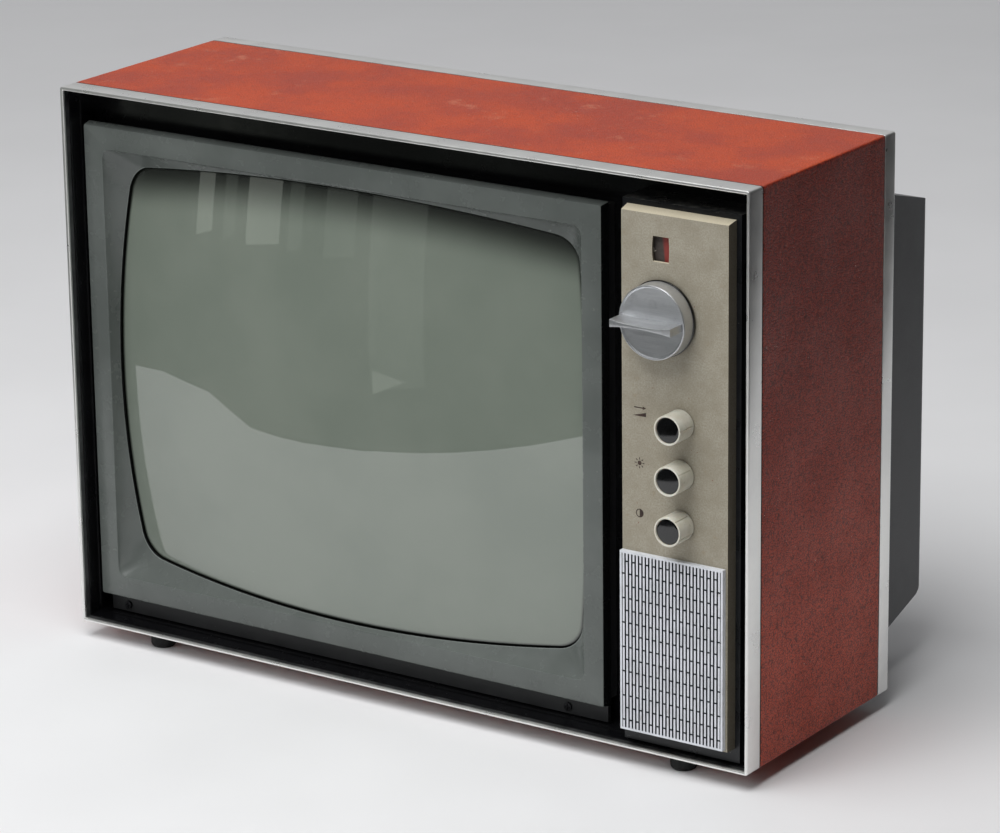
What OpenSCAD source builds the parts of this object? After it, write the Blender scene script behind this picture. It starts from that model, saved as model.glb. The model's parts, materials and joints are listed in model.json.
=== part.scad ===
// Portable television of the early nineteen-sixties: a steel sleeve in leathercloth between two
// aluminium trims, a 19 inch picture tube, a control column on the right and a deep rear cover.
// X runs to the right, Y to the back and Z up. Zero is below the middle, at the feet.

/* [Cabinet] */
// Width over the leathercloth
cab_w = 550; // [480:1:660]
// Height without the feet
cab_h = 388; // [380:1:466]
// Depth over both trims
cab_d = 184; // [170:1:221]
// Thickness of the steel sleeve
shell_t = 1.5; // [1.2:0.1:2.5]
// Thickness of the leathercloth and of the trims' side flanges
cloth_t = 1.0; // [0.6:0.1:1.4]
// Radius of the long edges
edge_r = 2; // [1:0.5:4]
// Width of the front trim's side flange
front_flange = 15.8; // [10:0.1:22]
// Width of the rear trim's side flange
rear_flange = 13.2; // [8:0.1:20]
// Depth of the trims' lips
lip_d = 2.5; // [1.5:0.1:4]
// Gap between the leathercloth and each trim
cloth_gap = 0.6; // [0.2:0.1:1.5]
// Height of the feet
foot_h = 12; // [8:0.5:20]
// Radius of the feet
foot_r = 9; // [7:0.5:12]
// Distance from a cabinet side to the feet
foot_side = 59; // [40:1:80]
// Distance from a trim to the nearest feet
foot_inset = 18; // [16:1:30]

/* [Recess] */
// Depth from the front trim to the front plate
recess_d = 33; // [30:0.5:40]
// Thickness of the front plate
plate_t = 1.5; // [1:0.1:2.5]
// Depth of the recess liner's first step
step1_y = 6; // [4:0.5:8]
// Depth of the recess liner's second step
step2_y = 17; // [12:0.5:20]
// Height of each step of the recess liner
step_t = 0.8; // [0.5:0.1:1.2]

/* [Screen] */
// Gap from the cabinet's left side to the bezel
bezel_side = 8.6; // [7:0.1:14]
// Height of the bezel's lower edge above the cabinet's underside
bezel_bottom = 18.9; // [15:0.1:26]
// Gap from the bezel's upper edge to the cabinet's top
bezel_top = 28.1; // [20:0.1:36]
// Gap between the bezel and the control column
column_gap = 20.4; // [14:0.1:26]
// Depth from the front trim to the bezel's face
bezel_y = 13.5; // [10:0.5:16]
// Depth of the bezel moulding
bezel_d = 7.2; // [5:0.1:10]
// Width of the bezel's flat ring
ring_w = 15.4; // [12:0.1:20]
// Wall of the bezel moulding
bezel_t = 2.2; // [1.6:0.1:3]
// Bow of the tube's upright edges
bow_side = 14; // [8:0.5:18]
// Bow of the tube's level edges
bow_top = 15; // [8:0.5:18]
// Corner radius of the visible screen
screen_corner = 21; // [14:0.5:28]
// Depth by which the glass face falls back towards its corners
face_sag = 23.8; // [18:0.1:24]
// Depth from the front trim to the middle of the glass face
face_y = 8; // [6:0.5:12]
// Width of the glass hidden behind the bezel
rim_w = 10.5; // [8:0.5:10.5]
// Thickness of the glass face
glass_t = 9; // [6:0.5:12]
// Length of the picture tube
tube_len = 303; // [290:1:330]
// Radius of the tube's neck
neck_r = 14.3; // [12:0.1:18]

/* [Control column] */
// Width of the black plinth
plinth_w = 88; // [84:0.1:106]
// Gap from the plinth to the cabinet's right side
plinth_side = 10; // [8:0.5:14]
// Gap from the plinth's top to the cabinet's top
plinth_top = 18; // [12:0.5:24]
// Depth from the front trim to the plinth's face
plinth_y = 7.5; // [6:0.5:9]
// Ledge of the plinth around the panel
ledge = 4.4; // [3:0.1:6]
// Height of the panel's lower edge above the cabinet's underside
panel_bottom = 14; // [10:0.5:20]
// Distance that the panel's face stands in front of the trim
panel_proud = 1; // [0:0.5:2]
// Wall of the panel
panel_t = 2; // [1.5:0.1:2.5]
// Width of the channel window
window_w = 11.7; // [8:0.1:14]
// Height of the channel window
window_h = 16.5; // [12:0.1:18]

/* [Knobs] */
// Radius of the tuner knob
tuner_r = 24.4; // [20:0.1:29.5]
// Length of the tuner knob without its grip
tuner_len = 12.6; // [10:0.1:16]
// Height of the grip blade
grip_h = 13.6; // [10:0.1:16]
// Distance from the panel's top to the tuner knob's axis
tuner_drop = 67; // [60:0.5:72]
// Distance from the panel's top to the volume knob's axis
volume_drop = 134.6; // [125:0.5:140]
// Distance from one small knob to the next
knob_pitch = 33.8; // [28:0.2:38]
// Radius of the small knobs
knob_r = 9.85; // [8:0.05:12]
// Length of the small knobs
knob_len = 16.5; // [12:0.1:20]
// Gap between the knobs and the panel
knob_gap = 0.8; // [0.6:0.1:1.5]
// Radius of the spindles
spindle_r = 3; // [2.5:0.1:3.2]
// Radial clearance of the turning spindles
run_gap = 0.05; // [0.03:0.01:0.08]
// Travel of the volume knob when it is pulled on
pull_travel = 5.5; // [4:0.5:6]

/* [Loudspeaker] */
// Distance from the lowest small knob's axis to the grille's top
grille_drop = 23.9; // [16:0.1:40]
// Distance that the grille stands in front of the panel
grille_proud = 3.5; // [2:0.1:5]
// Width of the grille's border
grille_edge = 1.5; // [1:0.1:3]
// Number of upright bars
bar_count = 29; // [15:1:35]
// Width of a bar
bar_w = 1.4; // [1:0.1:1.6]
// Distance between the notches along one bar
notch_pitch = 16.8; // [12:0.1:22]

/* [Rear cover] */
// Distance from a cabinet side to the rear cover's side
cover_side = 27.5; // [20:0.5:36]
// Depth of the rear cover behind the rear trim
cover_d = 98; // [90:1:118]
// Wall of the rear cover
cover_t = 3; // [2:0.1:4]
// Rounding of the rear cover's edges
cover_r = 9; // [5:0.5:14]
// Number of vent slots in a row
vent_count = 14; // [6:1:18]

/* [Hidden] */
$fn = 64;
seat_gap = 0.2;

// Inside of the sleeve
in_x = cab_w / 2 - cloth_t - shell_t;
in_bottom = cloth_t + shell_t;

// Control column
plinth_x1 = cab_w / 2 - plinth_side;
plinth_x0 = plinth_x1 - plinth_w;
plinth_z0 = in_bottom + 2 * step_t + seat_gap;
plinth_z1 = cab_h - plinth_top;
plinth_t = 2.5;
panel_x0 = plinth_x0 + ledge;
panel_x1 = plinth_x1 - ledge;
panel_z1 = plinth_z1 - ledge - 1;
panel_y = -panel_proud;
tuner_x = panel_x0 + 30.6;
knob_x = panel_x0 + 44.6;
window_x = panel_x0 + 29.4;
tuner_z = panel_z1 - tuner_drop;
knob_z = [for (i = [0:2]) panel_z1 - volume_drop - i * knob_pitch];

// Channel dial: two equal gears side by side, one on the tuner shaft and one on the dial
gear_teeth = 26;
gear_r = 14.95;
dial_z = tuner_z + 2 * gear_r;
dial_r = 25;
window_z = dial_z + 14.6;
gear_y0 = 4.2;
gear_y1 = plinth_y - 0.5;
dial_y0 = 2.8;
dial_y1 = 3.6;
axle_r = 1.5;

// Screen
bezel_x0 = bezel_side - cab_w / 2;
bezel_x1 = plinth_x0 - column_gap;
bezel_z1 = cab_h - bezel_top;
screen_x = (bezel_x0 + bezel_x1) / 2;
screen_z = (bezel_bottom + bezel_z1) / 2;
open_w = bezel_x1 - bezel_x0 - 2 * ring_w;
open_h = bezel_z1 - bezel_bottom - 2 * ring_w;
vis_a = open_w / 2 - 1.5;
vis_b = open_h / 2 - 1.5;
bow_ra = (vis_b * vis_b + bow_side * bow_side) / (2 * bow_side);
bow_rb = (vis_a * vis_a + bow_top * bow_top) / (2 * bow_top);
bezel_gap = 1;
corner_x = vis_a - bow_side;
corner_z = vis_b - bow_top;
corner_y = face_y + face_sag;
face_r = (corner_x * corner_x + corner_z * corner_z + face_sag * face_sag) / (2 * face_sag);
skirt_y = recess_d + 12;
neck_y = skirt_y + 128;
tube_end = face_y + tube_len;
base_len = 14;

// Tuner
tuner_case_y0 = recess_d + plate_t + 7.5;
tuner_case_y1 = tuner_case_y0 + 76;
tuner_half = 33;

// Volume switch
pot_y0 = recess_d + plate_t;
pot_d = 11.5;
pot_r = 12;
switch_y0 = pot_y0 + pot_d;
switch_d = 11.5 + pull_travel;
plunger_y0 = switch_y0 + 4 + pull_travel;

// Grille
grille_x0 = panel_x0;
grille_x1 = panel_x1 - 1.5;
grille_z0 = panel_bottom + 1.5;
grille_z1 = knob_z[2] - grille_drop;
grille_h = grille_z1 - grille_z0;
grille_y = panel_y - grille_proud;
speaker_x = (panel_x0 + panel_x1) / 2;
speaker_z = (grille_z0 + grille_z1) / 2;
speaker_w = plinth_w - 18;
speaker_h = grille_h - 6;

// Case screws
screw_r = 2.1;
screw_len = foot_h / 2 + in_bottom;

// Rear cover
cover_x = cab_w / 2 - cover_side;
cover_y1 = cab_d + cover_d;
cover_top = cab_h - 44.5;
cover_foot = 8.5;
low_slope = 0.33;
top_slope = 0.245;
function cover_low(y) = cover_foot + low_slope * (y - cab_d);
flange_y1 = cab_d - lip_d;
cup_r = 34;
cup_end = tube_end + 34;

// Middle of the whole depth
mid_y = (cup_end + panel_y - knob_gap - tuner_len - grip_h) / 2;

// ---------- helpers ----------

// Moves the cabinet's own frame (zero at the front trim and the underside) to the seat
module seat() {
    translate([0, -mid_y, foot_h]) children();
}

// A box between two corners
module slab(x0, x1, y0, y1, z0, z1) {
    translate([x0, y0, z0]) cube([x1 - x0, y1 - y0, z1 - z0]);
}

// A flat shape drawn in X and Z, with thickness from y0 to y1
module along_y(y0, y1) {
    translate([0, y1, 0]) rotate([90, 0, 0]) linear_extrude(y1 - y0) children();
}

// A flat shape drawn in Y and Z, with thickness from x0 to x1
module along_x(x0, x1) {
    translate([x0, 0, 0]) rotate([90, 0, 90]) linear_extrude(x1 - x0) children();
}

// A round bar along Y
module rod(x, z, y0, y1, r) {
    translate([x, y1, z]) rotate([90, 0, 0]) cylinder(h = y1 - y0, r = r);
}

// A tube along Y
module sleeve(x, z, y0, y1, r_out, r_in) {
    translate([x, 0, z]) along_y(y0, y1) difference() {
        circle(r_out);
        circle(r_in);
    }
}

// A ring turned about an axis along Y, from points [radius, depth]
module turned(x, z, points) {
    translate([x, 0, z]) rotate([-90, 0, 0]) rotate_extrude() polygon(points);
}

// A rectangle with round corners, centred
module rounded(w, h, r) {
    square([w - 2 * r, h], center = true);
    square([w, h - 2 * r], center = true);
    for (sx = [-1, 1], sz = [-1, 1])
        translate([sx * (w / 2 - r), sz * (h / 2 - r)]) circle(r);
}

// The cabinet's outline with everything moved inwards by one distance
module cabinet_outline(inset, r = edge_r) {
    translate([0, cab_h / 2]) rounded(cab_w - 2 * inset, cab_h - 2 * inset, max(r - inset, 0.5));
}

// A ring that follows the cabinet's outline
module cabinet_ring(y0, y1, inset0, inset1) {
    along_y(y0, y1) difference() {
        cabinet_outline(inset0);
        cabinet_outline(inset1);
    }
}

// A box whose sides and top spread towards the back
module flared_box(x0, x1, z0, z1, y0, y1, side, up) {
    intersection() {
        along_x(x0 - side - 1, x1 + side + 1)
            polygon([[y0, z0], [y0, z1], [y1, z1 + up], [y1, z0]]);
        translate([0, 0, z0 - 1]) linear_extrude(z1 - z0 + up + 2)
            polygon([[x0, y0], [x1, y0], [x1 + side, y1], [x0 - side, y1]]);
    }
}

function arc(c, r, a0, a1, n) =
    [for (i = [0:n]) let (a = a0 + (a1 - a0) * i / n) [c[0] + r * cos(a), c[1] + r * sin(a)]];

// One quarter of the bowed screen outline: an upright arc, a corner arc and a level arc.
// The corner's centre lies where both long arcs, moved in by the corner radius, meet.
function bowed_quarter(a, b, ra, rb, r) =
    let (
        c1 = [a - ra, 0],
        c2 = [0, b - rb],
        d = norm(c2 - c1),
        t = ((ra - r) * (ra - r) - (rb - r) * (rb - r) + d * d) / (2 * d),
        h = sqrt((ra - r) * (ra - r) - t * t),
        u = (c2 - c1) / d,
        p = c1 + t * u + h * [-u[1], u[0]],
        a1 = atan2(p[1] - c1[1], p[0] - c1[0]),
        a2 = atan2(p[1] - c2[1], p[0] - c2[0])
    )
    concat(arc(c1, ra, 0, a1, 5), arc(p, r, a1, a2, 6), arc(c2, rb, a2, 90, 5));

// The screen outline, grown by one distance all round
module screen_outline(grow) {
    q = bowed_quarter(vis_a + grow, vis_b + grow, bow_ra + grow, bow_rb + grow,
                      screen_corner + grow);
    n = len(q);
    translate([screen_x, screen_z]) polygon(concat(
        q,
        [for (i = [n - 2:-1:0]) [-q[i][0], q[i][1]]],
        [for (i = [1:n - 1]) [-q[i][0], -q[i][1]]],
        [for (i = [n - 2:-1:1]) [q[i][0], -q[i][1]]]
    ));
}

// A ball whose front surface is the glass face, moved forwards by one distance
module face_ball(forward) {
    translate([screen_x, face_y + face_r, screen_z]) sphere(face_r + forward, $fn = 240);
}

// A pan-head screw along Y, its head in front
module screw(x, z, y, r, len) {
    difference() {
        union() {
            rod(x, z, y - r * 0.7, y, r * 1.9);
            rod(x, z, y, y + len, r);
        }
        slab(x - r * 1.3, x + r * 1.3, y - r, y - r * 0.25, z - r * 0.2, z + r * 0.2);
        slab(x - r * 0.2, x + r * 0.2, y - r, y - r * 0.25, z - r * 1.3, z + r * 1.3);
    }
}

// Points of a spur gear's outline, with one tooth turned by the phase angle
function gear_points(phase) = [
    for (i = [0:gear_teeth - 1], p = [[-0.3, -1.3], [-0.115, 0.8], [0.115, 0.8], [0.3, -1.3]])
        let (a = phase + (i + p[0]) * 360 / gear_teeth, r = gear_r + p[1])
        [r * sin(a), r * cos(a)]
];

// ---------- cabinet ----------

module cabinet_shell() {
    color("dimgray") seat() difference() {
        cabinet_ring(lip_d, cab_d - lip_d, cloth_t, cloth_t + shell_t);
        for (p = foot_spots())
            translate([p[0], p[1], 0]) cylinder(h = 10, r = screw_r + 0.1, center = true);
    }
}

module leathercloth() {
    color("orangered") seat() difference() {
        cabinet_ring(front_flange + cloth_gap, cab_d - rear_flange - cloth_gap, 0, cloth_t);
        for (p = foot_spots())
            translate([p[0], p[1], 0]) cylinder(h = 10, r = screw_r + 0.1, center = true);
    }
}

module front_trim() {
    color("silver") seat() {
        cabinet_ring(lip_d, front_flange, 0, cloth_t);
        cabinet_ring(0, lip_d, 0, cloth_t + shell_t);
    }
}

module rear_trim() {
    color("silver") seat() {
        cabinet_ring(cab_d - rear_flange, cab_d - lip_d, 0, cloth_t);
        cabinet_ring(cab_d - lip_d, cab_d, 0, cloth_t + shell_t);
    }
}

// Feet: near the four corners, clear of the trims
function foot_spots() = [
    for (sx = [-1, 1], y = [foot_inset, cab_d - foot_inset]) [sx * (cab_w / 2 - foot_side), y]
];

module feet() {
    color("black") seat() for (p = foot_spots())
        translate([p[0], p[1], -foot_h]) difference() {
            cylinder(h = foot_h, r = foot_r);
            translate([0, 0, -1]) cylinder(h = foot_h / 2 + 1, r = 4.5);
            translate([0, 0, -1]) cylinder(h = foot_h + 2, r = screw_r + 0.1);
        }
}

// ---------- front ----------

// The plate's opening behind the control column
module column_opening() {
    slab(plinth_x0 + 6, plinth_x1 - 6, recess_d - 1, pot_y0 + 1, grille_z0 - 2, grille_z1 + 4);
    rod(tuner_x, tuner_z, recess_d - 1, pot_y0 + 1, spindle_r + 3);
    for (z = knob_z) rod(knob_x, z, recess_d - 1, pot_y0 + 1, spindle_r + 1.5);
}

module front_baffle() {
    color("black") seat() {
        cabinet_ring(step1_y, step2_y, in_bottom + seat_gap, in_bottom + step_t);
        cabinet_ring(step2_y, recess_d, in_bottom + seat_gap, in_bottom + 2 * step_t);
        difference() {
            along_y(recess_d, recess_d + plate_t) difference() {
                cabinet_outline(in_bottom + seat_gap);
                screen_outline(rim_w + 1.5);
            }
            column_opening();
            for (p = lug_spots()) rod(p[0], p[1], recess_d - 1, pot_y0 + 1, 2.6);
        }
    }
}

bezel_screw_x = [bezel_x0 + 16.4, bezel_x1 - 33.6];
flange_z0 = in_bottom + 2.5;

module mask_mount() {
    inset = 2;
    y0 = bezel_y + bezel_d;
    color([0.1, 0.1, 0.1]) seat() difference() {
        union() {
            slab(bezel_x0 + inset, bezel_x1 - inset, y0, recess_d,
                 bezel_bottom + inset, bezel_z1 - inset);
            slab(bezel_x0 + inset, bezel_x1 - inset, y0 + 1.5, y0 + 4.5,
                 flange_z0, bezel_bottom + 4);
        }
        along_y(y0 - 1, recess_d + 1) screen_outline(rim_w + 1);
        bezel_funnel(bezel_t + 0.5, bezel_y, recess_d - 0.5);
        for (x = bezel_screw_x) rod(x, bezel_screw_z(), y0, recess_d, 1.65);
    }
}

function bezel_screw_z() = (flange_z0 + bezel_bottom) / 2 - 2;

module bezel_screws() {
    color([0.15, 0.15, 0.15]) seat() for (x = bezel_screw_x)
        screw(x, bezel_screw_z(), bezel_y + bezel_d + 1.5, 1.6, 9);
}

// The opening of the bezel: nearly square in front, and the tube's bowed outline at the glass
module bezel_funnel(grow, front, back) {
    hull() {
        translate([screen_x, 0, screen_z]) along_y(front, front + 0.01)
            rounded(open_w + 2 * grow, open_h + 2 * grow, 5 + grow, $fn = 32);
        along_y(corner_y - bezel_gap - 0.5, corner_y - bezel_gap) screen_outline(grow);
    }
    along_y(corner_y - bezel_gap - 0.1, back) screen_outline(grow);
}

module screen_bezel() {
    back = corner_y + 3;
    flare = 1.3;
    color([0.37, 0.4, 0.4]) seat() difference() {
        union() {
            difference() {
                flared_box(bezel_x0, bezel_x1, bezel_bottom, bezel_z1, bezel_y,
                           bezel_y + bezel_d, flare, flare);
                slab(bezel_x0 + bezel_t, bezel_x1 - bezel_t, bezel_y + bezel_t,
                     bezel_y + bezel_d + 1, bezel_bottom + bezel_t, bezel_z1 - bezel_t);
            }
            bezel_funnel(bezel_t, bezel_y + 0.5, back);
        }
        bezel_funnel(0, bezel_y - 1, back + 1);
        face_ball(bezel_gap);
    }
}

module control_plinth() {
    color([0.05, 0.05, 0.07]) seat() difference() {
        slab(plinth_x0, plinth_x1, plinth_y, recess_d, plinth_z0, plinth_z1);
        slab(plinth_x0 + plinth_t, plinth_x1 - plinth_t, plinth_y + plinth_t, recess_d + 1,
             plinth_z0 + plinth_t, plinth_z1 - plinth_t);
        rod(tuner_x, tuner_z, 0, 20, spindle_r + 2);
        rod(tuner_x, dial_z, 0, 20, axle_r);
        for (z = knob_z) rod(knob_x, z, 0, 20, spindle_r + 1.5);
        slab(speaker_x - speaker_w / 2 + 6, speaker_x + speaker_w / 2 - 6, 0, 20,
             speaker_z - speaker_h / 2 + 6, speaker_z + speaker_h / 2 - 6);
    }
}

// The channel window: a tall opening whose upright edges bulge a little
module window_shape() {
    w = window_w / 2;
    h = window_h / 2;
    bulge = 0.6;
    translate([window_x, window_z]) polygon([
        for (i = [0:8]) [-w - bulge * sin(i * 22.5), -h + h * i / 4],
        for (i = [0:8]) [w + bulge * 0.5 * sin(i * 22.5), h - h * i / 4]
    ]);
}

module control_panel() {
    color([0.66, 0.62, 0.53]) seat() difference() {
        flared_box(panel_x0, panel_x1, panel_bottom, panel_z1, panel_y, plinth_y, 0.8, 2);
        slab(panel_x0 + panel_t, panel_x1 - panel_t, panel_y + panel_t, plinth_y + 1,
             panel_bottom + panel_t, panel_z1 - panel_t);
        along_y(panel_y - 1, panel_y + panel_t + 1) window_shape();
        rod(tuner_x, tuner_z, panel_y - 1, plinth_y, spindle_r + 1.5);
        for (z = knob_z) rod(knob_x, z, panel_y - 1, plinth_y, spindle_r + 1.5);
        slab(grille_x0 + 5, grille_x1 - 4, panel_y - 1, plinth_y, grille_z0 + 5, grille_z1 - 5);
    }
}

// A border, upright bars with staggered notches, and thin ribs that tie the bars behind them
module speaker_grille() {
    w = grille_x1 - grille_x0;
    inner = w - 2 * grille_edge;
    pitch = inner / bar_count;
    rib = 1.8;
    notch = 1.1;
    rows = floor(grille_h / (notch_pitch / 2)) - 1;
    row0 = grille_z0 + (grille_h - rows * notch_pitch / 2) / 2;
    color("whitesmoke") seat() difference() {
        union() {
            along_y(grille_y, panel_y) difference() {
                translate([grille_x0, grille_z0]) square([w, grille_h]);
                translate([grille_x0 + grille_edge, grille_z0 + grille_edge])
                    square([inner, grille_h - 2 * grille_edge]);
            }
            for (i = [0:bar_count - 1])
                let (x = grille_x0 + grille_edge + (i + 0.5) * pitch)
                    slab(x - bar_w / 2, x + bar_w / 2, grille_y, panel_y,
                         grille_z0 + grille_edge / 2, grille_z1 - grille_edge / 2);
            for (j = [0:rows])
                let (z = row0 + j * notch_pitch / 2)
                    slab(grille_x0 + grille_edge / 2, grille_x1 - grille_edge / 2,
                         panel_y - 1.4, panel_y, z - rib / 2, z + rib / 2);
        }
        for (i = [0:bar_count - 1], j = [i % 2:2:rows])
            let (x = grille_x0 + grille_edge + (i + 0.5) * pitch, z = row0 + j * notch_pitch / 2)
                slab(x - bar_w, x + bar_w, grille_y - 1, panel_y - 1.4, z - notch / 2, z + notch / 2);
    }
}

module grille_cloth() {
    color([0.05, 0.06, 0.1]) seat() slab(grille_x0 + 5.2, grille_x1 - 4.2, panel_y + 0.05,
        panel_y + 0.85, grille_z0 + 5.2, grille_z1 - 5.2);
}

// ---------- picture tube ----------

module tube_faceplate() {
    color([0.5, 0.54, 0.5]) seat() difference() {
        intersection() {
            along_y(face_y - 1, skirt_y) screen_outline(rim_w);
            face_ball(0);
        }
        intersection() {
            along_y(face_y, skirt_y + 1) screen_outline(rim_w - 8);
            face_ball(-glass_t);
        }
    }
}

// The funnel's outer or inner form: two stages from the screen to a circle, then a cone
module funnel_form(grow, y0, y3) {
    y1 = skirt_y + 55;
    y2 = neck_y - 26;
    cone_r = neck_r + 24;
    hull() {
        along_y(y0, y0 + 0.1) screen_outline(rim_w + grow);
        translate([screen_x, 0, screen_z]) along_y(y1 - 0.1, y1)
            rounded(vis_a * 1.3 + 2 * grow, vis_b * 1.35 + 2 * grow, vis_b * 0.55, $fn = 32);
    }
    hull() {
        translate([screen_x, 0, screen_z]) along_y(y1 - 0.1, y1)
            rounded(vis_a * 1.3 + 2 * grow, vis_b * 1.35 + 2 * grow, vis_b * 0.55, $fn = 32);
        rod(screen_x, screen_z, y2 - 0.1, y2, cone_r + grow, $fn = 32);
    }
    translate([screen_x, y2 - 0.1, screen_z]) rotate([-90, 0, 0])
        cylinder(h = y3 - y2 + 0.1, r1 = cone_r + grow, r2 = neck_r + grow);
}

// The glass funnel with the neck fused to it, closed at the neck's end by the tube's base
module tube_funnel() {
    color([0.25, 0.24, 0.23]) seat() difference() {
        union() {
            funnel_form(0, skirt_y, neck_y);
            rod(screen_x, screen_z, neck_y - 0.1, tube_end, neck_r);
        }
        funnel_form(-2.5, skirt_y - 0.1, neck_y + 0.1);
        rod(screen_x, screen_z, neck_y - 1, tube_end - base_len, neck_r - 2.5);
    }
}

module electron_gun() {
    y0 = neck_y + 40;
    y1 = tube_end - base_len;
    color("silver") seat() {
        rod(screen_x, screen_z, y0, y0 + 34, 8.5);
        rod(screen_x, screen_z, y0 + 34, y1, 2);
        rod(screen_x, screen_z, y0 + 40, y0 + 52, 8);
        rod(screen_x, screen_z, y0 + 56, y0 + 62, 8);
    }
}

// Lugs: one beyond each corner of the tube
function lug_spots() = [
    for (sx = [-1, 1], sz = [-1, 1])
        [screen_x + sx * (vis_a + rim_w - 3), screen_z + sz * (vis_b + rim_w + 1)]
];

module tube_rim_band() {
    y0 = pot_y0;
    band = 1.2;
    color("darkgray") seat() difference() {
        union() {
            along_y(y0, y0 + 9) screen_outline(rim_w + 0.3 + band);
            for (p = lug_spots()) hull() {
                rod(p[0], p[1], y0, y0 + 2, 7, $fn = 32);
                rod(p[0] * 0.92 + screen_x * 0.08, p[1] * 0.92 + screen_z * 0.08,
                    y0, y0 + 2, 7, $fn = 32);
            }
        }
        along_y(y0 - 1, y0 + 10) screen_outline(rim_w + 0.3);
        for (p = lug_spots()) rod(p[0], p[1], y0 - 1, y0 + 3, 2.6);
    }
}

module tube_lug_screws() {
    color("gray") seat() for (p = lug_spots()) {
        rod(p[0], p[1], recess_d, pot_y0 + 9, 2.5);
        rod(p[0], p[1], pot_y0 + 2, pot_y0 + 6, 4.5, $fn = 6);
    }
}

module tube_gasket() {
    color([0.04, 0.04, 0.04]) seat() difference() {
        intersection() {
            along_y(face_y, recess_d - 1) difference() {
                screen_outline(bezel_t + 1);
                screen_outline(-3.5);
            }
            face_ball(bezel_gap - 0.1);
        }
        face_ball(0.05);
    }
}

module yoke_core() {
    y = neck_y - 18;
    color([0.2, 0.19, 0.18]) seat() turned(screen_x, screen_z,
        [[52, y], [58, y], [44, y + 38], [36, y + 38]]);
}

module yoke_coils() {
    y = neck_y - 18;
    color([0.62, 0.3, 0.12]) seat() turned(screen_x, screen_z,
        [[44, y - 6], [63, y - 6], [63, y - 0.3], [51.6, y - 0.3], [35.6, y + 38.3],
         [46, y + 38.3], [46, y + 45], [neck_r + 1, y + 45], [neck_r + 1, y + 24]]);
}

module centring_magnets() {
    color([0.3, 0.3, 0.32]) seat() for (i = [0:1]) {
        y = neck_y + 34 + 4 * i;
        sleeve(screen_x, screen_z, y, y + 3, 25, neck_r + 0.3);
        slab(screen_x - 3, screen_x + 3, y, y + 3, screen_z + 24.5, screen_z + 34);
    }
}

module tube_socket() {
    color([0.3, 0.2, 0.12]) seat()
        rod(screen_x, screen_z, tube_end + 0.1, tube_end + 16, 19);
}

// A cup on the funnel's upper slope, square to the glass
module anode_cap() {
    y0 = skirt_y;
    y1 = skirt_y + 55;
    z0 = vis_b + rim_w;
    z1 = vis_b * 0.675;
    slope = atan2(y1 - y0, z0 - z1);
    color([0.35, 0.08, 0.06]) seat()
        translate([screen_x, (y0 + y1) / 2, screen_z + (z0 + z1) / 2])
            rotate([slope - 90, 0, 0]) translate([0, 0, 0.3]) {
                cylinder(h = 2, r = 14);
                translate([0, 0, 2]) cylinder(h = 9, r = 6);
            }
}

// ---------- chassis ----------

chassis_x0 = -in_x + 40;
chassis_x1 = chassis_x0 + 310;
chassis_y0 = cab_d - 84;
chassis_y1 = cab_d + 70;
chassis_z = cover_low(chassis_y1) + cover_t + 2;
board_z = chassis_z + 17;

module chassis_frame() {
    color("lightsteelblue") seat() {
        slab(chassis_x0, chassis_x1, chassis_y0, chassis_y1, chassis_z, chassis_z + 1.2);
        for (x = [chassis_x0, chassis_x1 - 1.2])
            slab(x, x + 1.2, chassis_y0, chassis_y1, chassis_z + 1.2, chassis_z + 14);
        for (x = [chassis_x0 + 20, chassis_x1 - 34])
            slab(x, x + 14, chassis_y0, chassis_y0 + 60, in_bottom, chassis_z);
        for (x = [chassis_x0 + 12, chassis_x1 - 12], y = [chassis_y0 + 12, chassis_y1 - 12])
            translate([x, y, chassis_z + 1.2]) cylinder(h = board_z - chassis_z - 1.2, r = 3);
    }
}

module main_board() {
    color([0.6, 0.45, 0.2]) seat() {
        slab(chassis_x0 + 4, chassis_x1 - 4, chassis_y0 + 4, chassis_y1 - 4,
             board_z, board_z + 1.6);
        for (i = [0:9], j = [0:1])
            translate([chassis_x0 + 24 + i * 27, chassis_y0 + 14 + j * 12, board_z + 1.6])
                cylinder(h = 12 + 4 * ((i + j) % 3), r = 4);
        for (i = [0:4])
            slab(chassis_x0 + 92 + i * 22, chassis_x0 + 106 + i * 22,
                 chassis_y1 - 22, chassis_y1 - 8, board_z + 1.6, board_z + 22);
    }
}

valve_spots = [for (i = [0:5]) [chassis_x0 + 30 + i * 32, chassis_y0 + 56 + 22 * (i % 2)]];

module valves() {
    color([0.8, 0.85, 0.85, 0.5]) seat() for (p = valve_spots)
        translate([p[0], p[1], board_z + 1.6]) {
            cylinder(h = 8, r = 12);
            translate([0, 0, 8]) cylinder(h = 38, r = 10.5);
            translate([0, 0, 46]) cylinder(h = 5, r1 = 9, r2 = 3);
        }
}

module line_output_transformer() {
    x = chassis_x1 - 74;
    y = chassis_y0 + 62;
    color("silver") seat() difference() {
        slab(x, x + 58, y, y + 62, board_z + 1.6, board_z + 46);
        slab(x + 1.5, x + 56.5, y + 1.5, y + 60.5, board_z + 1, board_z + 44.5);
        for (i = [0:5])
            slab(x - 1, x + 60, y + 10 + i * 8, y + 13 + i * 8, board_z + 14, board_z + 36);
    }
}

module smoothing_capacitor() {
    color("gainsboro") seat() translate([chassis_x0 + 24, chassis_y1 - 24, board_z + 1.6])
        cylinder(h = 58, r = 16);
}

module mains_dropper() {
    color([0.75, 0.72, 0.62]) seat() translate([chassis_x0 + 66, chassis_y1 - 24, board_z + 1.6])
        difference() {
            cylinder(h = 66, r = 9);
            translate([0, 0, 2]) cylinder(h = 70, r = 5);
        }
}

// ---------- tuner and dial ----------

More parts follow.
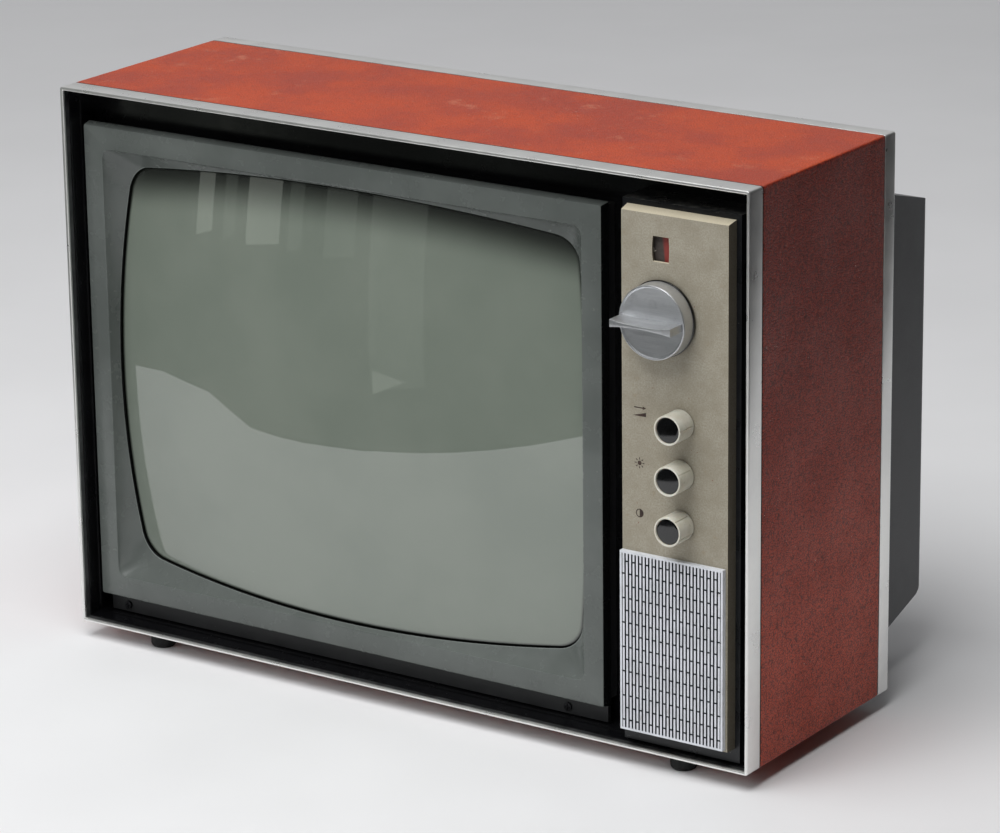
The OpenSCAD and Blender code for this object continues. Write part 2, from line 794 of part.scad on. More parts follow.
module tuner_case() {
    y0 = tuner_case_y0;
    y1 = tuner_case_y1;
    h = tuner_half;
    color("lightgray") seat() difference() {
        union() {
            slab(tuner_x - h, tuner_x + h, y0, y1, tuner_z - h, tuner_z + h);
            slab(tuner_x - h - 7, tuner_x + h + 7, y0, y0 + 1.2, tuner_z - 20, tuner_z + 20);
            for (x = [tuner_x - h - 7, tuner_x + h + 1])
                slab(x, x + 6, pot_y0, y0 + 0.6, tuner_z - 20, tuner_z + 20);
        }
        slab(tuner_x - h + 1, tuner_x + h - 1, y0 + 1.2, y1 - 1.2,
             tuner_z - h + 1, tuner_z + h - 1);
        rod(tuner_x, tuner_z, y0 - 1, y1 + 1, spindle_r + run_gap);
    }
}

module tuner_turret() {
    color([0.5, 0.35, 0.2]) seat() difference() {
        rod(tuner_x, tuner_z, tuner_case_y0 + 5, tuner_case_y1 - 6, 27, $fn = 12);
        rod(tuner_x, tuner_z, tuner_case_y0 + 4, tuner_case_y1 - 5, spindle_r);
        for (i = [0:11]) translate([tuner_x, 0, tuner_z]) rotate([0, i * 30, 0])
            slab(-4, 4, tuner_case_y0 + 10, tuner_case_y1 - 11, 23, 30);
    }
}

module tuner_shaft() {
    color("silver") seat()
        rod(tuner_x, tuner_z, panel_y - 9, tuner_case_y1 + 3, spindle_r);
}

module tuner_pinion() {
    color([0.85, 0.8, 0.7]) seat() difference() {
        translate([tuner_x, 0, tuner_z]) along_y(gear_y0, gear_y1) polygon(gear_points(0));
        rod(tuner_x, tuner_z, 0, 20, spindle_r);
    }
}

module tuner_knob() {
    y1 = panel_y - knob_gap;
    color([0.06, 0.06, 0.06]) seat() difference() {
        union() {
            rod(tuner_x, tuner_z, y1 - 1.8, y1, tuner_r + 0.8);
            rod(tuner_x, tuner_z, y1 - tuner_len + 2.5, y1 - 1.8, tuner_r - 1.6);
        }
        rod(tuner_x, tuner_z, panel_y - 9, y1 + 1, spindle_r);
    }
}

// An aluminium cup over the black base, with a fine raised rim around its face
module tuner_knob_cap() {
    y0 = panel_y - knob_gap - tuner_len;
    y1 = panel_y - knob_gap - 1.8;
    color("silver") seat() turned(tuner_x, tuner_z, [
        [0, y0 + 0.8], [tuner_r - 1.5, y0 + 0.8], [tuner_r - 1.1, y0 + 0.2],
        [tuner_r - 0.6, y0], [tuner_r - 0.1, y0 + 0.4], [tuner_r + 0.2, y1],
        [tuner_r - 1.6, y1], [tuner_r - 1.6, y0 + 2.5], [0, y0 + 2.5]
    ]);
}

// A blade with a narrow waist: two arcs that come closest in the middle
module tuner_knob_grip() {
    half = tuner_r - 1.9;
    waist = 0.9;
    tip = 2.6;
    bow_r = (half * half + (tip - waist) * (tip - waist)) / (2 * (tip - waist));
    sweep = asin(half / bow_r);
    y1 = panel_y - knob_gap - tuner_len + 0.8;
    color("silver") seat() translate([tuner_x, 0, tuner_z]) along_y(y1 - grip_h - 0.8, y1)
        polygon(concat(
            arc([0, waist + bow_r], bow_r, 270 - sweep, 270 + sweep, 14),
            arc([0, -waist - bow_r], bow_r, 90 - sweep, 90 + sweep, 14)
        ));
}

module dial_axle() {
    color("silver") seat() {
        rod(tuner_x, dial_z, dial_y0 - 0.9, dial_y0 - 0.3, axle_r + 1.2);
        rod(tuner_x, dial_z, dial_y0 - 0.3, plinth_y + plinth_t, axle_r);
    }
}

module channel_dial() {
    color([0.3, 0.26, 0.24]) seat()
        sleeve(tuner_x, dial_z, dial_y0, dial_y1, dial_r, axle_r + run_gap);
}

module dial_gear() {
    color([0.85, 0.8, 0.7]) seat() difference() {
        union() {
            translate([tuner_x, 0, dial_z]) along_y(gear_y0, gear_y1)
                polygon(gear_points(180 + 180 / gear_teeth));
            rod(tuner_x, dial_z, dial_y1, gear_y0, 6);
        }
        rod(tuner_x, dial_z, 0, 20, axle_r + run_gap);
    }
}

// ---------- small knobs ----------

module knob_body(z) {
    y0 = panel_y - knob_gap - knob_len;
    y1 = panel_y - knob_gap;
    color([0.87, 0.84, 0.74]) seat() difference() {
        turned(knob_x, z, [[0, y0], [knob_r - 0.5, y0], [knob_r, y0 + 0.5], [knob_r, y1], [0, y1]]);
        rod(knob_x, z, y0 - 1, y0 + 1.6, knob_r - 1.2);
        rod(knob_x, z, y0 + 4, y1 + 1, spindle_r);
    }
}

module knob_cap(z) {
    y0 = panel_y - knob_gap - knob_len;
    color([0.04, 0.04, 0.04]) seat() turned(knob_x, z, [
        [0, y0 + 0.5], [knob_r - 2.2, y0 + 0.3], [knob_r - 1.4, y0 + 0.8],
        [knob_r - 1.4, y0 + 1.6], [0, y0 + 1.6]
    ]);
}

module knob_spindle(z, y1) {
    y0 = panel_y - knob_gap - knob_len + 4;
    color("silver") seat() rod(knob_x, z, y0, y1, spindle_r);
}

module volume_knob() knob_body(knob_z[0]);
module volume_knob_cap() knob_cap(knob_z[0]);
module volume_spindle() knob_spindle(knob_z[0], switch_y0 + switch_d - 2);
module brightness_knob() knob_body(knob_z[1]);
module brightness_knob_cap() knob_cap(knob_z[1]);
module brightness_spindle() knob_spindle(knob_z[1], pot_y0 + pot_d + 2);
module contrast_knob() knob_body(knob_z[2]);
module contrast_knob_cap() knob_cap(knob_z[2]);
module contrast_spindle() knob_spindle(knob_z[2], pot_y0 + pot_d + 2);

// Three round controls behind the front plate, each with its threaded sleeve and tags
module control_pots() {
    color([0.55, 0.5, 0.4]) seat() for (z = knob_z) difference() {
        union() {
            rod(knob_x, z, pot_y0, pot_y0 + pot_d, pot_r);
            rod(knob_x, z, pot_y0 - 7, pot_y0, spindle_r + 1.4);
            for (i = [-1:1])
                slab(knob_x + i * 6 - 1.2, knob_x + i * 6 + 1.2, pot_y0 + 2, pot_y0 + 3,
                     z - pot_r - 5, z - pot_r + 4);
        }
        rod(knob_x, z, pot_y0 - 8, pot_y0 + pot_d + 1, spindle_r + run_gap);
    }
}

module mains_switch() {
    y0 = switch_y0;
    y1 = switch_y0 + switch_d;
    half = 13;
    z = knob_z[0];
    color([0.25, 0.14, 0.08]) seat() difference() {
        slab(knob_x - half, knob_x + half, y0, y1, z - half, z + half);
        rod(knob_x, z, y0 + 2, y1 - 1.5, half - 2.5);
        rod(knob_x, z, y0 - 1, y0 + 3, spindle_r + run_gap);
    }
}

// A collar on the spindle that carries the switch contacts
module volume_plunger() {
    color([0.8, 0.7, 0.4]) seat() difference() {
        rod(knob_x, knob_z[0], plunger_y0, plunger_y0 + 3, 9.5);
        rod(knob_x, knob_z[0], plunger_y0 - 1, plunger_y0 + 4, spindle_r + run_gap);
    }
}

// ---------- loudspeaker ----------

speaker_y0 = plinth_y + plinth_t;
basket_d = 30;
basket_r = 22;
basket_t = 1.2;
cone_clear = 1;

module loudspeaker_frame() {
    y0 = speaker_y0;
    t = basket_t;
    color("gray") seat() difference() {
        union() {
            translate([speaker_x, 0, speaker_z]) along_y(y0, y0 + t)
                rounded(speaker_w, speaker_h, speaker_w / 2 - 8);
            hull() speaker_form(0, y0 + t, y0 + basket_d);
        }
        hull() speaker_form(-t, y0 - 0.1, y0 + basket_d - t);
        for (sx = [-1, 1])
            translate([speaker_x, 0, speaker_z]) rotate([0, sx * 90 - 90, 0])
                slab(10, speaker_w, y0 + 8, y0 + basket_d - 6, -speaker_h * 0.26, speaker_h * 0.26);
        rod(speaker_x, speaker_z, y0, y0 + basket_d + 1, 9);
    }
}

// The two ends of the loudspeaker's basket or cone
module speaker_form(grow, y0, y1, r1 = basket_r) {
    translate([speaker_x, 0, speaker_z]) along_y(y0, y0 + 0.1)
        rounded(speaker_w - 8 + 2 * grow, speaker_h - 8 + 2 * grow, speaker_w / 2 - 12,
                $fn = 32);
    rod(speaker_x, speaker_z, y1 - 0.1, y1, r1 + grow, $fn = 32);
}

// The cone's rim clears the inside of the basket, which narrows towards the back
module loudspeaker_cone() {
    y0 = speaker_y0 + 1.5;
    y1 = speaker_y0 + 20;
    t = 0.8;
    slope = ((speaker_h - 8) / 2 - basket_r) / basket_d;
    inset = basket_t + cone_clear + slope * 1.6;
    color([0.2, 0.18, 0.15]) seat() difference() {
        hull() speaker_form(-inset, y0, y1, 12);
        hull() speaker_form(-inset - t, y0 - 0.1, y1 - t, 12);
    }
}

module loudspeaker_magnet() {
    y0 = speaker_y0 + basket_d;
    color([0.3, 0.3, 0.3]) seat() {
        rod(speaker_x, speaker_z, y0, y0 + 18, 20);
        rod(speaker_x, speaker_z, y0 - 8, y0, 8);
    }
}

// ---------- rear ----------

// The rear cover's side view: it slopes from its foot up to the back, and a little down along its top
module cover_profile(inset) {
    y0 = flange_y1 - 4;
    y1 = cover_y1 - inset;
    r = cover_r - inset;
    top0 = cover_top - inset;
    top1 = cover_top - top_slope * (cover_y1 - cab_d) - inset;
    low0 = cover_foot + inset;
    low1 = cover_low(cover_y1) + inset;
    polygon(concat(
        [[y0, low0], [cab_d, low0], [y1 - r * 1.2, low1 - r * 0.4]],
        arc([y1 - r, low1 + r], r, -70, 0, 5),
        arc([y1 - r, top1 - r], r, 0, 76, 5),
        [[cab_d, top0], [y0, top0]]
    ));
}

module cover_plan(inset) {
    translate([0, (cover_y1 - inset) / 2])
        rounded(2 * (cover_x - inset), cover_y1 - inset, cover_r - inset);
}

module cover_form(inset) {
    intersection() {
        along_x(-cover_x + inset, cover_x - inset) cover_profile(inset);
        linear_extrude(cab_h) cover_plan(inset);
    }
}

vent_pitch = 12;
vent_w = 4;

module rear_vents() {
    half = (vent_count - 1) / 2;
    for (i = [0:vent_count - 1], side = [-1, 1]) {
        x = (i - half) * vent_pitch;
        slab(screen_x + x - vent_w / 2, screen_x + x + vent_w / 2, cover_y1 - 12,
             cover_y1 + 5, screen_z + (side > 0 ? cup_r + 12 : -cup_r - 66),
             screen_z + (side > 0 ? cup_r + 66 : -cup_r - 12));
    }
    for (i = [0:vent_count - 1])
        slab(cover_x - 150 + i * 8, cover_x - 146 + i * 8, cover_y1 - 12, cover_y1 + 5,
             cover_top - 120, cover_top - 60);
}

module rear_cover() {
    color([0.24, 0.24, 0.25]) seat() difference() {
        union() {
            translate([0, 0, cab_h / 2]) along_y(flange_y1 - cover_t, flange_y1)
                rounded(2 * (in_x - 0.5), cab_h - 2 * in_bottom - 1, 2);
            difference() {
                cover_form(0);
                slab(-cab_w, cab_w, 0, flange_y1 - cover_t, -10, cab_h + 10);
            }
        }
        difference() {
            cover_form(cover_t);
            slab(-cab_w, cab_w, 0, flange_y1 - cover_t - 1, -10, cab_h + 10);
        }
        rod(screen_x, screen_z, cover_y1 - 20, cover_y1 + 1, cup_r + seat_gap);
        rear_vents();
        for (p = cover_screw_spots()) rod(p[0], p[1], 100, cab_d, screw_r + 0.1);
        slab(inlet_x - 17, inlet_x + 17, cover_y1 - 10, cover_y1 + 1, inlet_z - 11, inlet_z + 11);
        rod(socket_x, inlet_z, cover_y1 - 10, cover_y1 + 1, 8);
    }
}

// A cup over the end of the tube's neck, with a collar behind the rear cover's hole
module neck_cup() {
    y0 = cover_y1 - cover_t;
    color([0.22, 0.22, 0.23]) seat() difference() {
        union() {
            rod(screen_x, screen_z, y0 - 2, y0 - 0.05, cup_r + 6);
            rod(screen_x, screen_z, y0 - 0.1, cup_end, cup_r);
        }
        rod(screen_x, screen_z, y0 - 3, cup_end - 2.5, cup_r - 2.5);
    }
}

function cover_screw_spots() = [
    for (sx = [-1, 1], z = [cab_h * 0.12, cab_h * 0.5, cab_h * 0.88]) [sx * (in_x - 10), z]
];

inlet_x = cover_x - 60;
inlet_z = cover_low(cover_y1) + 40;
socket_x = inlet_x - 60;

// A recessed mains inlet with two pins
module mains_inlet() {
    y1 = cover_y1;
    color([0.15, 0.13, 0.12]) seat() {
        difference() {
            union() {
                slab(inlet_x - 20, inlet_x + 20, y1 + 0.05, y1 + 2, inlet_z - 14, inlet_z + 14);
                slab(inlet_x - 16.8, inlet_x + 16.8, y1 - 16, y1 + 0.05,
                     inlet_z - 10.8, inlet_z + 10.8);
            }
            slab(inlet_x - 14, inlet_x + 14, y1 - 13, y1 + 3, inlet_z - 8, inlet_z + 8);
        }
        for (sx = [-1, 1]) rod(inlet_x + sx * 6, inlet_z, y1 - 14, y1 - 1, 2);
    }
}

module aerial_socket() {
    y1 = cover_y1;
    color([0.75, 0.7, 0.6]) seat() difference() {
        union() {
            rod(socket_x, inlet_z, y1 + 0.05, y1 + 2, 11);
            rod(socket_x, inlet_z, y1 - 14, y1 + 0.05, 7.8);
        }
        rod(socket_x, inlet_z, y1 - 12, y1 + 3, 4.75);
        rod(socket_x, inlet_z, y1 - 15, y1 - 11, 1.2);
    }
}

// Identical screws that hold the rear cover and the feet
module case_screw() {
    cylinder(h = screw_len, r = screw_r);
    translate([0, 0, -2.4]) difference() {
        cylinder(h = 2.4, r = 4);
        translate([0, 0, 0.2]) cube([0.9, 9, 2.4], center = true);
    }
}

module case_screws() {
    color("gray") seat() {
        for (p = cover_screw_spots())
            translate([p[0], flange_y1, p[1]]) rotate([90, 0, 0]) case_screw();
        for (p = foot_spots()) translate([p[0], p[1], -foot_h / 2]) case_screw();
    }
}

cabinet_shell();
leathercloth();
front_trim();
rear_trim();
front_baffle();
mask_mount();
screen_bezel();
bezel_screws();
control_plinth();
control_panel();
speaker_grille();
grille_cloth();
tube_faceplate();
tube_funnel();
electron_gun();
tube_rim_band();
tube_lug_screws();
tube_gasket();
yoke_core();
yoke_coils();
centring_magnets();
tube_socket();
anode_cap();
chassis_frame();
main_board();
valves();
line_output_transformer();
smoothing_capacitor();
mains_dropper();
tuner_case();
tuner_turret();
tuner_shaft();
tuner_pinion();
tuner_knob();
tuner_knob_cap();
tuner_knob_grip();
dial_axle();
channel_dial();
dial_gear();
volume_knob();
volume_knob_cap();
volume_spindle();
volume_plunger();
mains_switch();
brightness_knob();
brightness_knob_cap();
brightness_spindle();
contrast_knob();
contrast_knob_cap();
contrast_spindle();
control_pots();
loudspeaker_frame();
loudspeaker_cone();
loudspeaker_magnet();
rear_cover();
neck_cup();
mains_inlet();
aerial_socket();
feet();
case_screws();
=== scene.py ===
import json
import math

import bmesh
import bpy
from mathutils import Matrix, Vector, noise

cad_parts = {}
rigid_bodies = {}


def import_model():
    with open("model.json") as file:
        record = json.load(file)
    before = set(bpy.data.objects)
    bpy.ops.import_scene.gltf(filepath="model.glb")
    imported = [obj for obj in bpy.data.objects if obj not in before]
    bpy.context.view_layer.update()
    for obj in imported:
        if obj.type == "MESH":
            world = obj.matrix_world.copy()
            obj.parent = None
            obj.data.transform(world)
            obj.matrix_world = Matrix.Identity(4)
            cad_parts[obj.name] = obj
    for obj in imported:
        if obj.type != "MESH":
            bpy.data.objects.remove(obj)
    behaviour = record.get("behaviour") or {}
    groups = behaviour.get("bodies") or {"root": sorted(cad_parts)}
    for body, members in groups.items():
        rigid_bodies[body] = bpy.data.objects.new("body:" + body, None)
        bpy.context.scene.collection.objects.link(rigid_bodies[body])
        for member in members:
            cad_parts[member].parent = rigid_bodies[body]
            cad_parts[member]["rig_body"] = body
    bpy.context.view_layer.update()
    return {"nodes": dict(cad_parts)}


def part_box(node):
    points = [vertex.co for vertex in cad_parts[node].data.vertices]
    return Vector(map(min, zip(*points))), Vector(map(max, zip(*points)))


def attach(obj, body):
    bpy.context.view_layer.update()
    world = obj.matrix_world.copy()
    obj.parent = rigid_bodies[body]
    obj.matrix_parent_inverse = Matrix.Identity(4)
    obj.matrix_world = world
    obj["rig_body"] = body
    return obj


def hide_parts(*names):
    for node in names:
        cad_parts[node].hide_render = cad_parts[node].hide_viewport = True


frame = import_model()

# The looks of a portable television, built around its CAD frame. Lengths are in metres, MM is
# one millimetre, X runs to the right, Y to the back and Z up.

MM = 0.001
NODES = frame["nodes"]
CABINET = "cabinet"

# ---------- places, from the frame ----------

TRIM_LOW, TRIM_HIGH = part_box("front_trim")
REAR_LOW, REAR_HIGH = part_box("rear_trim")
CLOTH_LOW, CLOTH_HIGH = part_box("leathercloth")
BEZEL_LOW, BEZEL_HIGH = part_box("screen_bezel")
GLASS_LOW, GLASS_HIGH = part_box("tube_faceplate")
PANEL_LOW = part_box("control_panel")[0]
GRILLE_LOW, GRILLE_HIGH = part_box("speaker_grille")
DIAL_LOW, DIAL_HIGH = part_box("channel_dial")

CAB_W = TRIM_HIGH.x - TRIM_LOW.x
CAB_H = TRIM_HIGH.z - TRIM_LOW.z
CAB_MIDDLE = (TRIM_HIGH.z + TRIM_LOW.z) / 2
FRONT_Y = TRIM_LOW.y
EDGE_R = 2 * MM
SHEET_T = 1.0 * MM

# Bezel and screen at the sizes of the CAD model. The gap between the bezel and the glass, the
# skirt's flare at the bottom and the soft edges are the visual model's own.
FLARE = 1.3 * MM
RING_W = 15.4 * MM
BEZEL_WALL = 2.2 * MM
BEZEL_D = 7.2 * MM
BEZEL_GAP = 2.0 * MM
BOW_SIDE = 14 * MM
BOW_TOP = 15 * MM
SCREEN_CORNER = 21 * MM
FACE_R = 1.1007
GLASS_RIM = 10.5 * MM
GLASS_T = 9 * MM

SCREEN_X = (BEZEL_LOW.x + BEZEL_HIGH.x) / 2
SCREEN_Z = (BEZEL_LOW.z + BEZEL_HIGH.z - FLARE) / 2
BEZEL_HALF_W = (BEZEL_HIGH.x - BEZEL_LOW.x) / 2 - FLARE
BEZEL_HALF_H = (BEZEL_HIGH.z - FLARE - BEZEL_LOW.z) / 2
OPEN_HALF_W = BEZEL_HALF_W - RING_W
OPEN_HALF_H = BEZEL_HALF_H - RING_W
VIS_A = OPEN_HALF_W - 1.5 * MM
VIS_B = OPEN_HALF_H - 1.5 * MM


def middle_of(node):
    low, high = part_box(node)
    return (low + high) / 2


# ---------- materials ----------

def shade(code):
    """A colour from its hexadecimal screen value."""
    parts = [int(code[i:i + 2], 16) / 255 for i in (0, 2, 4)]
    light = [c / 12.92 if c <= 0.04045 else ((c + 0.055) / 1.055) ** 2.4 for c in parts]
    return (*light, 1.0)


class Paint:
    """One material: a Principled shader fed by textures that are measured in millimetres."""

    def __init__(self, name, values=None):
        self.name = name
        self.material = bpy.data.materials.new("finish_" + name)
        self.material.use_nodes = True
        self.tree = self.material.node_tree
        self.shader = self.tree.nodes["Principled BSDF"]
        self.relief = None
        self.where = self.put("TexCoord").outputs["Object"]
        for key, value in (values or {}).items():
            self.shader.inputs[key].default_value = value

    def put(self, kind, settings=None, **inputs):
        node = self.tree.nodes.new("ShaderNode" + kind)
        for key, value in (settings or {}).items():
            setattr(node, key, value)
        for key, value in inputs.items():
            self.feed(node.inputs[key.replace("_", " ")], value)
        return node

    def feed(self, socket, value):
        if isinstance(value, bpy.types.NodeSocket):
            self.tree.links.new(value, socket)
        else:
            socket.default_value = value

    def spot(self, x=1.0, y=1.0, z=1.0):
        """The place on the object in millimetres, each axis multiplied by its own share."""
        node = self.put("VectorMath", {"operation": "MULTIPLY"})
        self.feed(node.inputs[0], self.where)
        self.feed(node.inputs[1], (x / MM, y / MM, z / MM))
        return node.outputs[0]

    def axis(self, name):
        """The place along one axis, in metres."""
        return self.put("SeparateXYZ", Vector=self.where).outputs[name]

    def noise(self, size, detail=3.0, rough=0.55, at=None, warp=0.0):
        at = self.spot() if at is None else at
        node = self.put("TexNoise", Vector=at, Scale=1.0 / size, Detail=detail,
                        Roughness=rough, Distortion=warp)
        return node.outputs["Fac"]

    def cells(self, size, at=None, feature="F1"):
        at = self.spot() if at is None else at
        node = self.put("TexVoronoi", {"feature": feature}, Vector=at, Scale=1.0 / size)
        return node.outputs["Distance"]

    def between(self, value, low, high, first=0.0, last=1.0):
        """A smooth step from one value to another as the input goes from low to high."""
        node = self.put("MapRange", {"interpolation_type": "SMOOTHSTEP"}, Value=value,
                        From_Min=low, From_Max=high, To_Min=first, To_Max=last)
        return node.outputs["Result"]

    def calc(self, operation, a, b=0.0):
        node = self.put("Math", {"operation": operation})
        self.feed(node.inputs[0], a)
        self.feed(node.inputs[1], b)
        return node.outputs[0]

    def times(self, a, b):
        return self.calc("MULTIPLY", a, b)

    def mix(self, share, a, b):
        node = self.put("Mix", {"data_type": "RGBA"})
        self.feed(node.inputs[0], share)
        self.feed(node.inputs[6], a)
        self.feed(node.inputs[7], b)
        return node.outputs[2]

    def edges(self, reach):
        """A mask of the edges, where the surface turns within the reach in millimetres."""
        soft = self.put("Bevel", {"samples": 8}, Radius=reach * MM).outputs["Normal"]
        flat = self.put("NewGeometry").outputs["Normal"]
        facing = self.put("VectorMath", {"operation": "DOT_PRODUCT"})
        self.feed(facing.inputs[0], soft)
        self.feed(facing.inputs[1], flat)
        return self.between(facing.outputs["Value"], 0.86, 0.99, 1.0, 0.0)

    def turned_to(self, axis):
        """A mask of what faces along an axis: 0 is to the right and 2 is up."""
        normal = self.put("NewGeometry").outputs["Normal"]
        return self.between(self.put("SeparateXYZ", Vector=normal).outputs[axis], 0.55, 0.8)

    def colour(self, value):
        self.feed(self.shader.inputs["Base Color"], value)

    def gloss(self, value):
        self.feed(self.shader.inputs["Roughness"], value)

    def bump(self, height, depth):
        """Adds relief of a depth in millimetres to what is there already."""
        node = self.put("Bump", Strength=1.0, Distance=depth * MM, Height=height)
        if self.relief is not None:
            self.feed(node.inputs["Normal"], self.relief)
        self.relief = node.outputs["Normal"]
        self.feed(self.shader.inputs["Normal"], self.relief)


def moulded(name, dark, light, roughness, grain=0.8, relief=0.02, patch=18.0, values=None):
    """Two close shades in soft patches, uneven gloss and a fine grain."""
    paint = Paint(name, values)
    patches = paint.between(paint.noise(patch, 4.0), 0.35, 0.65)
    paint.colour(paint.mix(patches, shade(dark), shade(light)))
    wiped = paint.noise(patch / 3, 3.0)
    paint.gloss(paint.between(wiped, 0.3, 0.7, roughness * 0.85, roughness * 1.15))
    paint.bump(paint.noise(grain, 2.0), relief)
    return paint


def metal(name, dark, light, roughness, **more):
    return moulded(name, dark, light, roughness, values={"Metallic": 1.0}, **more)


def cloth_ground(paint, patches, lit):
    """Orange red on top, with painted shade on the sides and painted bounce light that makes the
    sides lighter towards the bottom.
    """
    bright = paint.mix(paint.between(patches, 0.35, 0.65), shade("AA3A1B"), shade("C0491F"))
    # Painted light: the sides are a shaded copy of the red, and painted bounce light makes them
    # lighter towards the bottom.
    painted_bounce = paint.between(paint.axis("Z"), 0.04, 0.34, 1.0, 0.0)
    shaded_sides = paint.mix(painted_bounce, shade("9C2E1A"), shade("D2502F"))
    shaded_sides = paint.mix(paint.between(patches, 0.35, 0.65, 0.0, 0.3), shaded_sides, shade("8E2C1C"))
    return paint.mix(lit, shaded_sides, bright)


def cloth_grain(paint, base, pebbles, creases, lit):
    """Painted shade in the lines round the pebbles and in the dark creases, and painted highlight in
    the light creases, all fainter on top.
    """
    seen = paint.between(lit, 0.0, 1.0, 0.85, 0.22)
    # Painted shade in the lines round the pebbles and in the dark creases.
    lines = paint.times(paint.between(pebbles, 0.02, 0.16, 1.0, 0.0), seen)
    base = paint.mix(lines, base, shade("45150D"))
    crease_shade = paint.times(paint.between(creases, 0.5, 0.66, 0.0, 0.7), seen)
    base = paint.mix(crease_shade, base, shade("5A1E14"))
    # Painted highlight in the light creases.
    high = paint.times(paint.between(creases, 0.34, 0.46, 1.0, 0.0), seen)
    return paint.mix(paint.times(high, 0.55), base, shade("B85038"))


def cloth_wear(paint, base, lit):
    """Scuffs on top, pale specks in places, and a ragged painted shade along the cloth's edges under
    the trims.
    """
    scuffs = paint.between(paint.noise(26.0, 6.0, 0.72), 0.58, 0.72, 0.0, 0.5)
    base = paint.mix(paint.times(scuffs, lit), base, shade("C97A5C"))
    specks = paint.between(paint.noise(1.3, 2.0, 0.5), 0.735, 0.76)
    thin = paint.between(paint.noise(40.0, 2.0), 0.48, 0.62)
    base = paint.mix(paint.times(specks, thin), base, shade("E2C6B4"))
    # Painted shade: a ragged dark band where the cloth runs under the trims.
    ragged = paint.times(paint.noise(1.6, 3.0), 1.1 * MM)
    for start, way in ((CLOTH_LOW.y, 1), (CLOTH_HIGH.y, -1)):
        inside = paint.times(paint.calc("SUBTRACT", paint.axis("Y"), start), way)
        edge = paint.calc("SUBTRACT", inside, ragged)
        base = paint.mix(paint.between(edge, 0.0, 0.35 * MM, 0.9, 0.0), base, shade("24100B"))
    return base


def leathercloth():
    """Embossed cloth: pebbles drawn out along the wrap, with painted shade in the creases between
    them.
    """
    paint = Paint("leathercloth", {"Specular IOR Level": 0.42})
    along = paint.spot(0.72, 1.0, 0.72)
    wobble = paint.put("TexNoise", Vector=along, Scale=0.5, Detail=3.0).outputs["Color"]
    bent = paint.put("VectorMath", {"operation": "ADD"})
    paint.feed(bent.inputs[0], along)
    paint.feed(bent.inputs[1], wobble)
    pebbles = paint.cells(1.5, at=bent.outputs[0], feature="DISTANCE_TO_EDGE")
    creases = paint.noise(3.0, 4.0, 0.6, at=along, warp=0.5)
    patches = paint.noise(55.0, 4.0, 0.6)
    lit = paint.turned_to(2)
    base = cloth_ground(paint, patches, lit)
    base = cloth_grain(paint, base, pebbles, creases, lit)
    paint.colour(cloth_wear(paint, base, lit))
    paint.gloss(paint.between(patches, 0.3, 0.7, 0.40, 0.52))
    paint.bump(paint.between(pebbles, 0.0, 0.25), 0.2)
    paint.bump(creases, 0.7)
    return paint


def trim_aluminium():
    paint = Paint("trim_aluminium", {"Metallic": 0.86})
    clouds = paint.noise(40.0, 5.0, 0.6)
    base = paint.mix(paint.between(clouds, 0.35, 0.65), shade("EAEAE8"), shade("F4F4F1"))
    pits = paint.between(paint.noise(1.1, 1.0, 0.5), 0.78, 0.81)
    base = paint.mix(paint.times(pits, 0.5), base, shade("5E5C58"))
    flecks = paint.between(paint.noise(1.8, 1.0, 0.5), 0.765, 0.79)
    base = paint.mix(flecks, base, shade("F8F6F0"))
    paint.colour(base)
    paint.gloss(paint.between(paint.noise(20.0, 3.0), 0.3, 0.7, 0.27, 0.33))
    paint.bump(paint.noise(0.7, 3.0), 0.003)
    return paint


def knob_aluminium():
    paint = Paint("knob_aluminium", {"Metallic": 0.85})
    lines = paint.noise(0.5, 4.0, 0.7, at=paint.spot(0.02, 0.5, 1.0))
    base = paint.mix(lines, shade("BFC2C6"), shade("E4E5E6"))
    grime = paint.between(paint.noise(8.0, 4.0), 0.5, 0.75, 0.0, 0.25)
    base = paint.mix(grime, base, shade("8A8C8C"))
    paint.colour(base)
    paint.gloss(paint.between(lines, 0.3, 0.7, 0.30, 0.46))
    paint.bump(lines, 0.018)
    return paint


def bezel_plastic():
    paint = Paint("bezel_plastic", {"Specular IOR Level": 0.45})
    clouds = paint.noise(60.0, 4.0)
    base = paint.mix(paint.between(clouds, 0.35, 0.65), shade("585D5A"), shade("616663"))
    # Painted highlight along the rounded edges.
    base = paint.mix(paint.times(paint.edges(0.6), 0.8), base, shade("8A918D"))
    # Painted shade: the outer face on the right side is made near black.
    outside = paint.between(paint.axis("X"), BEZEL_HIGH.x - 1.6 * MM, BEZEL_HIGH.x - 1.2 * MM)
    base = paint.mix(paint.times(paint.turned_to(0), outside), base, shade("0C0D0D"))
    scratches = paint.noise(2.2, 3.0, 0.6, at=paint.spot(0.12, 1.0, 1.0))
    base = paint.mix(paint.between(scratches, 0.74, 0.78, 0.0, 0.15), base, shade("88928E"))
    paint.colour(base)
    paint.gloss(paint.between(paint.noise(12.0, 4.0), 0.3, 0.7, 0.21, 0.29))
    paint.bump(paint.noise(0.9, 2.0), 0.012)
    return paint


